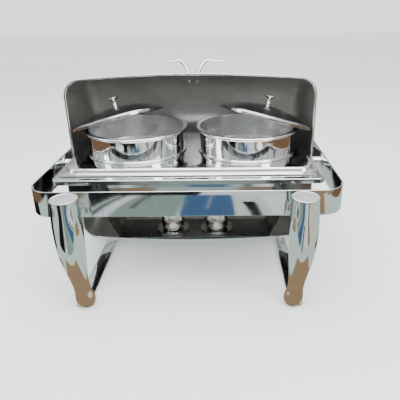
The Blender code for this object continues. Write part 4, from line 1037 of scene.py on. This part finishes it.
# ------------------------------------------------------------------ cover handle
# A small pad screwed on from inside the cover, with two slender horns brazed to it that
# curl outwards like a pair of leaves.
handle_angle = math.radians(33.75)
handle_seat = cover_radius + 0.0006
pad_thick, handle_rise, handle_half_span = 0.004, 0.056, 0.087
handle_stem, handle_bend, horn_sweep = 0.0105, 0.032, 0.85
horn_root, horn_tip = 0.0042, 0.0014
handle_steel = steel("mirror_steel_handle", (0.86, 0.87, 0.88), (0.74, 0.75, 0.77), 0.06, 0.14,
                     grain=(400, 400, 400), wave=0.0002)
to_handle = at_axis @ Matrix.Rotation(-handle_angle, 4, "X")
piece("handle_pad", slab(0.023, 0.010, 0.009, handle_seat, handle_seat + pad_thick, 0.0012),
      handle_steel, "cover", ["handle_base"], to_handle)
horn_start = handle_seat + pad_thick + 0.0003
bend_x = handle_stem + handle_bend
horn_steps = 64
for side, sx in SIDES:
    line = []
    for i in range(horn_steps + 1):
        t = i / horn_steps
        if t < 0.55:
            turn = t / 0.55 * math.pi / 2
            line.append((handle_stem + handle_bend * (1 - math.cos(turn)) ** horn_sweep,
                         handle_rise * math.sin(turn)))
        else:
            level = (t - 0.55) / 0.45
            line.append((bend_x + (handle_half_span - bend_x) * level,
                         handle_rise - 0.003 * math.sin(math.pi * level)))
    loops = []
    for i, (x, z) in enumerate(line):
        before, after = line[max(i - 1, 0)], line[min(i + 1, horn_steps)]
        along = Vector((after[0] - before[0], 0, after[1] - before[1])).normalized()
        if i == 0:
            along = Vector((0, 0, 1))
        side_way = Vector((along.z, 0, -along.x))
        radius = horn_root + (horn_tip - horn_root) * (i / horn_steps) ** 1.6
        if i == horn_steps:
            radius *= 0.45
        centre = Vector((x, 0, horn_start + z))
        ring_points = []
        for k in range(20):
            turn = 2 * math.pi * k / 20
            ring_points.append(centre + side_way * math.cos(turn) * radius
                               + Vector((0, 1, 0)) * math.sin(turn) * radius)
        loops.append([Vector((sx * p.x, p.y, p.z)) for p in ring_points])
    piece("handle_" + side + "_horn", skin(loops), handle_steel, "cover",
          ["handle_horn_" + side], to_handle)

inward = Matrix.Rotation(-handle_angle, 3, "X") @ Vector((0, 0, -1))
screw_seat = 0.2193
handle_screws = grown("handle_screws", screw_tree, bolt_steel,
                      {"Head Radius": 0.0042, "Head Height": 0.0022, "Shank Radius": 0.002,
                       "Shank Length": 0.0045, "Key Width": 0.0009, "Key Length": 0.0046,
                       "Key Depth": 0.0010},
                      [(Vector((sx * 0.0105, 0, axis_z)) - inward * screw_seat, inward)
                       for side, sx in SIDES])
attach(handle_screws, "cover")
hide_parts("handle_screw_left", "handle_screw_right")


# ------------------------------------------------------------------ studio
# A pale floor, a broad soft light overhead, a softer one in front, and flags that the
# camera does not see, which give the polished steel something to reflect.
def stage_plane(name, corners, surface):
    mesh = bpy.data.meshes.new(name)
    mesh.from_pydata(corners, [], [tuple(range(len(corners)))])
    mesh.materials.append(surface)
    made = bpy.data.objects.new(name, mesh)
    bpy.context.scene.collection.objects.link(made)
    return made


floor_paint = bpy.data.materials.new("floor_paint")
floor_paint.use_nodes = True
floor_tree = floor_paint.node_tree
floor_shader = floor_tree.nodes["Principled BSDF"]
floor_shader.inputs["Roughness"].default_value = 0.75
floor_shader.inputs["Specular IOR Level"].default_value = 0.2
floor_place = floor_tree.nodes.new("ShaderNodeTexCoord").outputs["Object"]
floor_colour = floor_tree.nodes.new("ShaderNodeMix")
floor_colour.data_type = "RGBA"
floor_colour.inputs["A"].default_value = (0.90, 0.91, 0.90, 1)
floor_colour.inputs["B"].default_value = (0.86, 0.87, 0.86, 1)
link(floor_tree, noise(floor_tree, floor_place, 1.5, 3.0), floor_colour.inputs["Factor"])
link(floor_tree, floor_colour.outputs["Result"], floor_shader.inputs["Base Color"])
stage_plane("studio_floor", [(-6, -4, 0), (6, -4, 0), (6, 9, 0), (-6, 9, 0)], floor_paint)


def flag(name, corners, colour, strength=1.0):
    """A card that only reflections see."""
    surface = bpy.data.materials.new(name)
    surface.use_nodes = True
    tree = surface.node_tree
    tree.nodes.clear()
    glow = tree.nodes.new("ShaderNodeEmission")
    glow.inputs["Color"].default_value = (*colour, 1)
    glow.inputs["Strength"].default_value = strength
    out = tree.nodes.new("ShaderNodeOutputMaterial")
    link(tree, glow.outputs["Emission"], out.inputs["Surface"])
    made = stage_plane(name, corners, surface)
    made.visible_camera = False
    made.visible_diffuse = False
    made.visible_shadow = False
    made.visible_transmission = False
    return made


# Flat cards just over the floor: pale near the object, and the darker room further off.
mint, teal, blue = (0.66, 0.80, 0.74), (0.27, 0.37, 0.34), (0.07, 0.14, 0.28)
black, brown, tan = (0.010, 0.011, 0.012), (0.20, 0.115, 0.062), (0.36, 0.25, 0.15)
white, cream = (0.90, 0.92, 0.97), (0.80, 0.76, 0.66)
floor_cards = (
    ("near", mint, 0.0010, ((-0.86, -1.10), (0.90, -1.10), (0.90, 0.62), (-0.86, 0.62))),
    ("side_left", black, 0.0014, ((-0.86, -0.24), (-0.37, -0.24), (-0.37, 0.62), (-0.86, 0.62))),
    ("side_left_pale", mint, 0.0018, ((-0.50, -0.24), (-0.42, -0.24), (-0.42, 0.62),
                                      (-0.50, 0.62))),
    ("side_right", mint, 0.0014, ((0.37, -0.24), (0.90, -0.24), (0.90, 0.62), (0.37, 0.62))),
    ("side_right_dark", (0.10, 0.11, 0.11), 0.0018, ((0.46, -0.24), (0.52, -0.24), (0.52, 0.62),
                                                    (0.46, 0.62))),
    ("foot_left", tan, 0.0018, ((-0.36, -0.39), (-0.12, -0.39), (-0.14, -0.16), (-0.34, -0.16))),
    ("foot_right", tan, 0.0018, ((0.12, -0.39), (0.36, -0.39), (0.34, -0.16), (0.14, -0.16))),
    ("left_streak", black, 0.0030, ((-0.50, -0.44), (-0.335, -0.46), (-0.38, -1.10),
                                    (-0.74, -1.10))),
    ("left_streak_thin", black, 0.0030, ((-0.325, -0.52), (-0.305, -0.52), (-0.33, -1.10),
                                         (-0.36, -1.10))),
    ("left_glint", white, 0.0034, ((-0.300, -0.50), (-0.265, -0.50), (-0.28, -1.10),
                                   (-0.32, -1.10))),
    ("teal", teal, 0.0020, ((-0.26, -0.46), (-0.06, -0.46), (-0.07, -1.10), (-0.28, -1.10))),
    ("olive", (0.14, 0.15, 0.13), 0.0026, ((-0.225, -0.62), (-0.205, -0.62), (-0.22, -1.10),
                                          (-0.25, -1.10))),
    ("blue", blue, 0.0030, ((-0.050, -0.48), (0.115, -0.48), (0.125, -1.10), (-0.075, -1.10))),
    ("blue_stripe", (0.30, 0.36, 0.46), 0.0034, ((0.024, -0.60), (0.032, -0.60), (0.044, -1.10),
                                                (0.034, -1.10))),
    ("right_dark", black, 0.0032, ((0.165, -0.46), (0.195, -0.46), (0.20, -0.78), (0.15, -0.78))),
    ("right_glint", white, 0.0030, ((0.23, -0.50), (0.35, -0.50), (0.42, -1.10), (0.24, -1.10))),
    ("right_tan", tan, 0.0030, ((0.35, -0.50), (0.43, -0.48), (0.54, -1.10), (0.42, -1.10))),
    ("right_cream", cream, 0.0030, ((0.43, -0.48), (0.58, -0.42), (0.80, -1.10), (0.54, -1.10))),
    ("front_left", black, 0.0015, ((-3.4, -3.4), (0.02, -3.4), (-0.02, -1.10), (-0.86, -1.10),
                                   (-0.86, -0.70), (-3.4, -0.60))),
    ("front_middle", (0.80, 0.86, 0.86), 0.0015, ((0.02, -3.4), (0.80, -3.4), (0.36, -1.10),
                                                  (-0.02, -1.10))),
    ("front_right", tan, 0.0015, ((0.80, -3.4), (3.6, -3.4), (1.3, -0.55), (0.36, -1.10))),
    ("right", brown, 0.0012, ((0.90, -0.80), (4.0, -3.4), (4.0, 4.0), (0.90, 0.62))),
    ("left", brown, 0.0012, ((-4.0, -3.4), (-0.86, -0.86), (-0.86, 0.62), (-4.0, 4.0))),
    ("behind", (0.05, 0.040, 0.030), 0.0012, ((-0.86, 0.62), (0.90, 0.62), (4.0, 4.0),
                                              (-4.0, 4.0))))
for name, colour, height, corners in floor_cards:
    flag("floor_card_" + name, [(x, y, height) for x, y in corners], colour)

# The air itself: plain and pale for the camera, and for reflections a room with a brown
# foot, bright and dark panels side by side, and an open ceiling.
world = bpy.data.worlds.new("studio_air")
bpy.context.scene.world = world
world.use_nodes = True
air = world.node_tree
air.nodes.clear()
air_place = air.nodes.new("ShaderNodeTexCoord").outputs["Generated"]
air_parts = air.nodes.new("ShaderNodeSeparateXYZ")
link(air, air_place, air_parts.inputs["Vector"])


def air_ramp(value, stops):
    node = air.nodes.new("ShaderNodeValToRGB")
    ramp = node.color_ramp
    ramp.elements[0].position, ramp.elements[0].color = stops[0][0], (*stops[0][1], 1)
    ramp.elements[1].position, ramp.elements[1].color = stops[-1][0], (*stops[-1][1], 1)
    for position, colour in stops[1:-1]:
        ramp.elements.new(position).color = (*colour, 1)
    link(air, value, node.inputs["Fac"])
    return node.outputs["Color"]


def air_mix(first, second, factor, how="MIX"):
    node = air.nodes.new("ShaderNodeMix")
    node.data_type = "RGBA"
    node.blend_type = how
    for socket, value in (("A", first), ("B", second), ("Factor", factor)):
        if isinstance(value, float):
            node.inputs[socket].default_value = value
        else:
            link(air, value, node.inputs[socket])
    return node.outputs["Result"]


panel_noise = noise(air, air_place, 1.0, 2.0, 0.5, stretch=(3.4, 3.4, 0.35))
panels = air_ramp(panel_noise, ((0.36, (0.05, 0.05, 0.052)), (0.44, (0.42, 0.45, 0.47)),
                                (0.50, (0.95, 1.0, 1.0)), (0.57, (0.35, 0.33, 0.32)),
                                (0.66, (0.85, 0.88, 0.90))))
ceiling = air_ramp(air_parts.outputs["Z"], ((0.0, (0.5, 0.5, 0.5)), (0.45, (0.80, 0.84, 0.84)),
                                            (0.75, (1.15, 1.18, 1.18)), (1.0, (1.3, 1.3, 1.3))))
low_room = air_ramp(air_parts.outputs["Z"], ((0.0, (0.34, 0.24, 0.16)), (0.06, (0.30, 0.22, 0.15)),
                                             (0.13, (0.24, 0.21, 0.18)), (1.0, (0.2, 0.2, 0.2))))
panel_share = spread(air, air_parts.outputs["Z"], 0.10, 0.18, 0.0, 1.0)
ceiling_share = spread(air, air_parts.outputs["Z"], 0.36, 0.62, 0.0, 1.0)
room = air_mix(air_mix(low_room, panels, panel_share), ceiling, ceiling_share)
room_light = air.nodes.new("ShaderNodeBackground")
link(air, room, room_light.inputs["Color"])
plain_light = air.nodes.new("ShaderNodeBackground")
plain_light.inputs["Color"].default_value = (0.98, 0.99, 0.99, 1)
plain_light.inputs["Strength"].default_value = 1.75
rays = air.nodes.new("ShaderNodeLightPath")
choose = air.nodes.new("ShaderNodeMixShader")
link(air, rays.outputs["Is Glossy Ray"], choose.inputs["Fac"])
link(air, plain_light.outputs["Background"], choose.inputs[1])
link(air, room_light.outputs["Background"], choose.inputs[2])
air_out = air.nodes.new("ShaderNodeOutputWorld")
link(air, choose.outputs["Shader"], air_out.inputs["Surface"])


def soft_light(name, place, target, size, power, colour):
    lamp = bpy.data.lights.new(name, "AREA")
    lamp.shape = "RECTANGLE"
    lamp.size, lamp.size_y = size
    lamp.energy = power
    lamp.color = colour
    made = bpy.data.objects.new(name, lamp)
    bpy.context.scene.collection.objects.link(made)
    made.location = place
    made.rotation_euler = (Vector(target) - Vector(place)).to_track_quat("-Z", "Y").to_euler()
    return made


soft_light("soft_overhead", (0.1, 0.1, 2.1), (0, 0, 0.2), (2.2, 1.5), 40, (1.0, 1.0, 1.0))
soft_light("soft_front_right", (1.5, -1.3, 1.6), (0, 0, 0.25), (0.8, 1.2), 16, (1.0, 0.98, 0.95))
soft_light("soft_front_top", (0.0, -0.9, 1.5), (0, 0.05, 0.3), (1.4, 0.5), 14, (1.0, 1.0, 1.0))
soft_light("soft_left", (-1.7, -0.6, 1.3), (0, 0, 0.25), (0.5, 1.2), 8, (0.95, 0.98, 1.0))

# The camera stands in front of the middle, a little over table height, looking down.
camera = bpy.data.cameras.new("camera")
camera.lens = 38.09
camera.sensor_width = 36.0
camera.shift_x = -0.0468
camera.shift_y = -0.0643
yaw, pitch, roll = -0.0087, 0.3794, -0.0127
ahead = Vector((math.sin(yaw) * math.cos(pitch), math.cos(yaw) * math.cos(pitch),
                -math.sin(pitch)))
right = Vector((math.cos(yaw), -math.sin(yaw), 0))
up = right.cross(ahead)
turned_right = right * math.cos(roll) + up * math.sin(roll)
turned_up = up * math.cos(roll) - right * math.sin(roll)
viewpoint = bpy.data.objects.new("camera", camera)
bpy.context.scene.collection.objects.link(viewpoint)
viewpoint.matrix_world = Matrix.Translation((0.0747, -1.019, 0.6122)) @ Matrix((
    turned_right, turned_up, -ahead)).transposed().to_4x4()
bpy.context.scene.camera = viewpoint

bpy.context.view_layer.update()
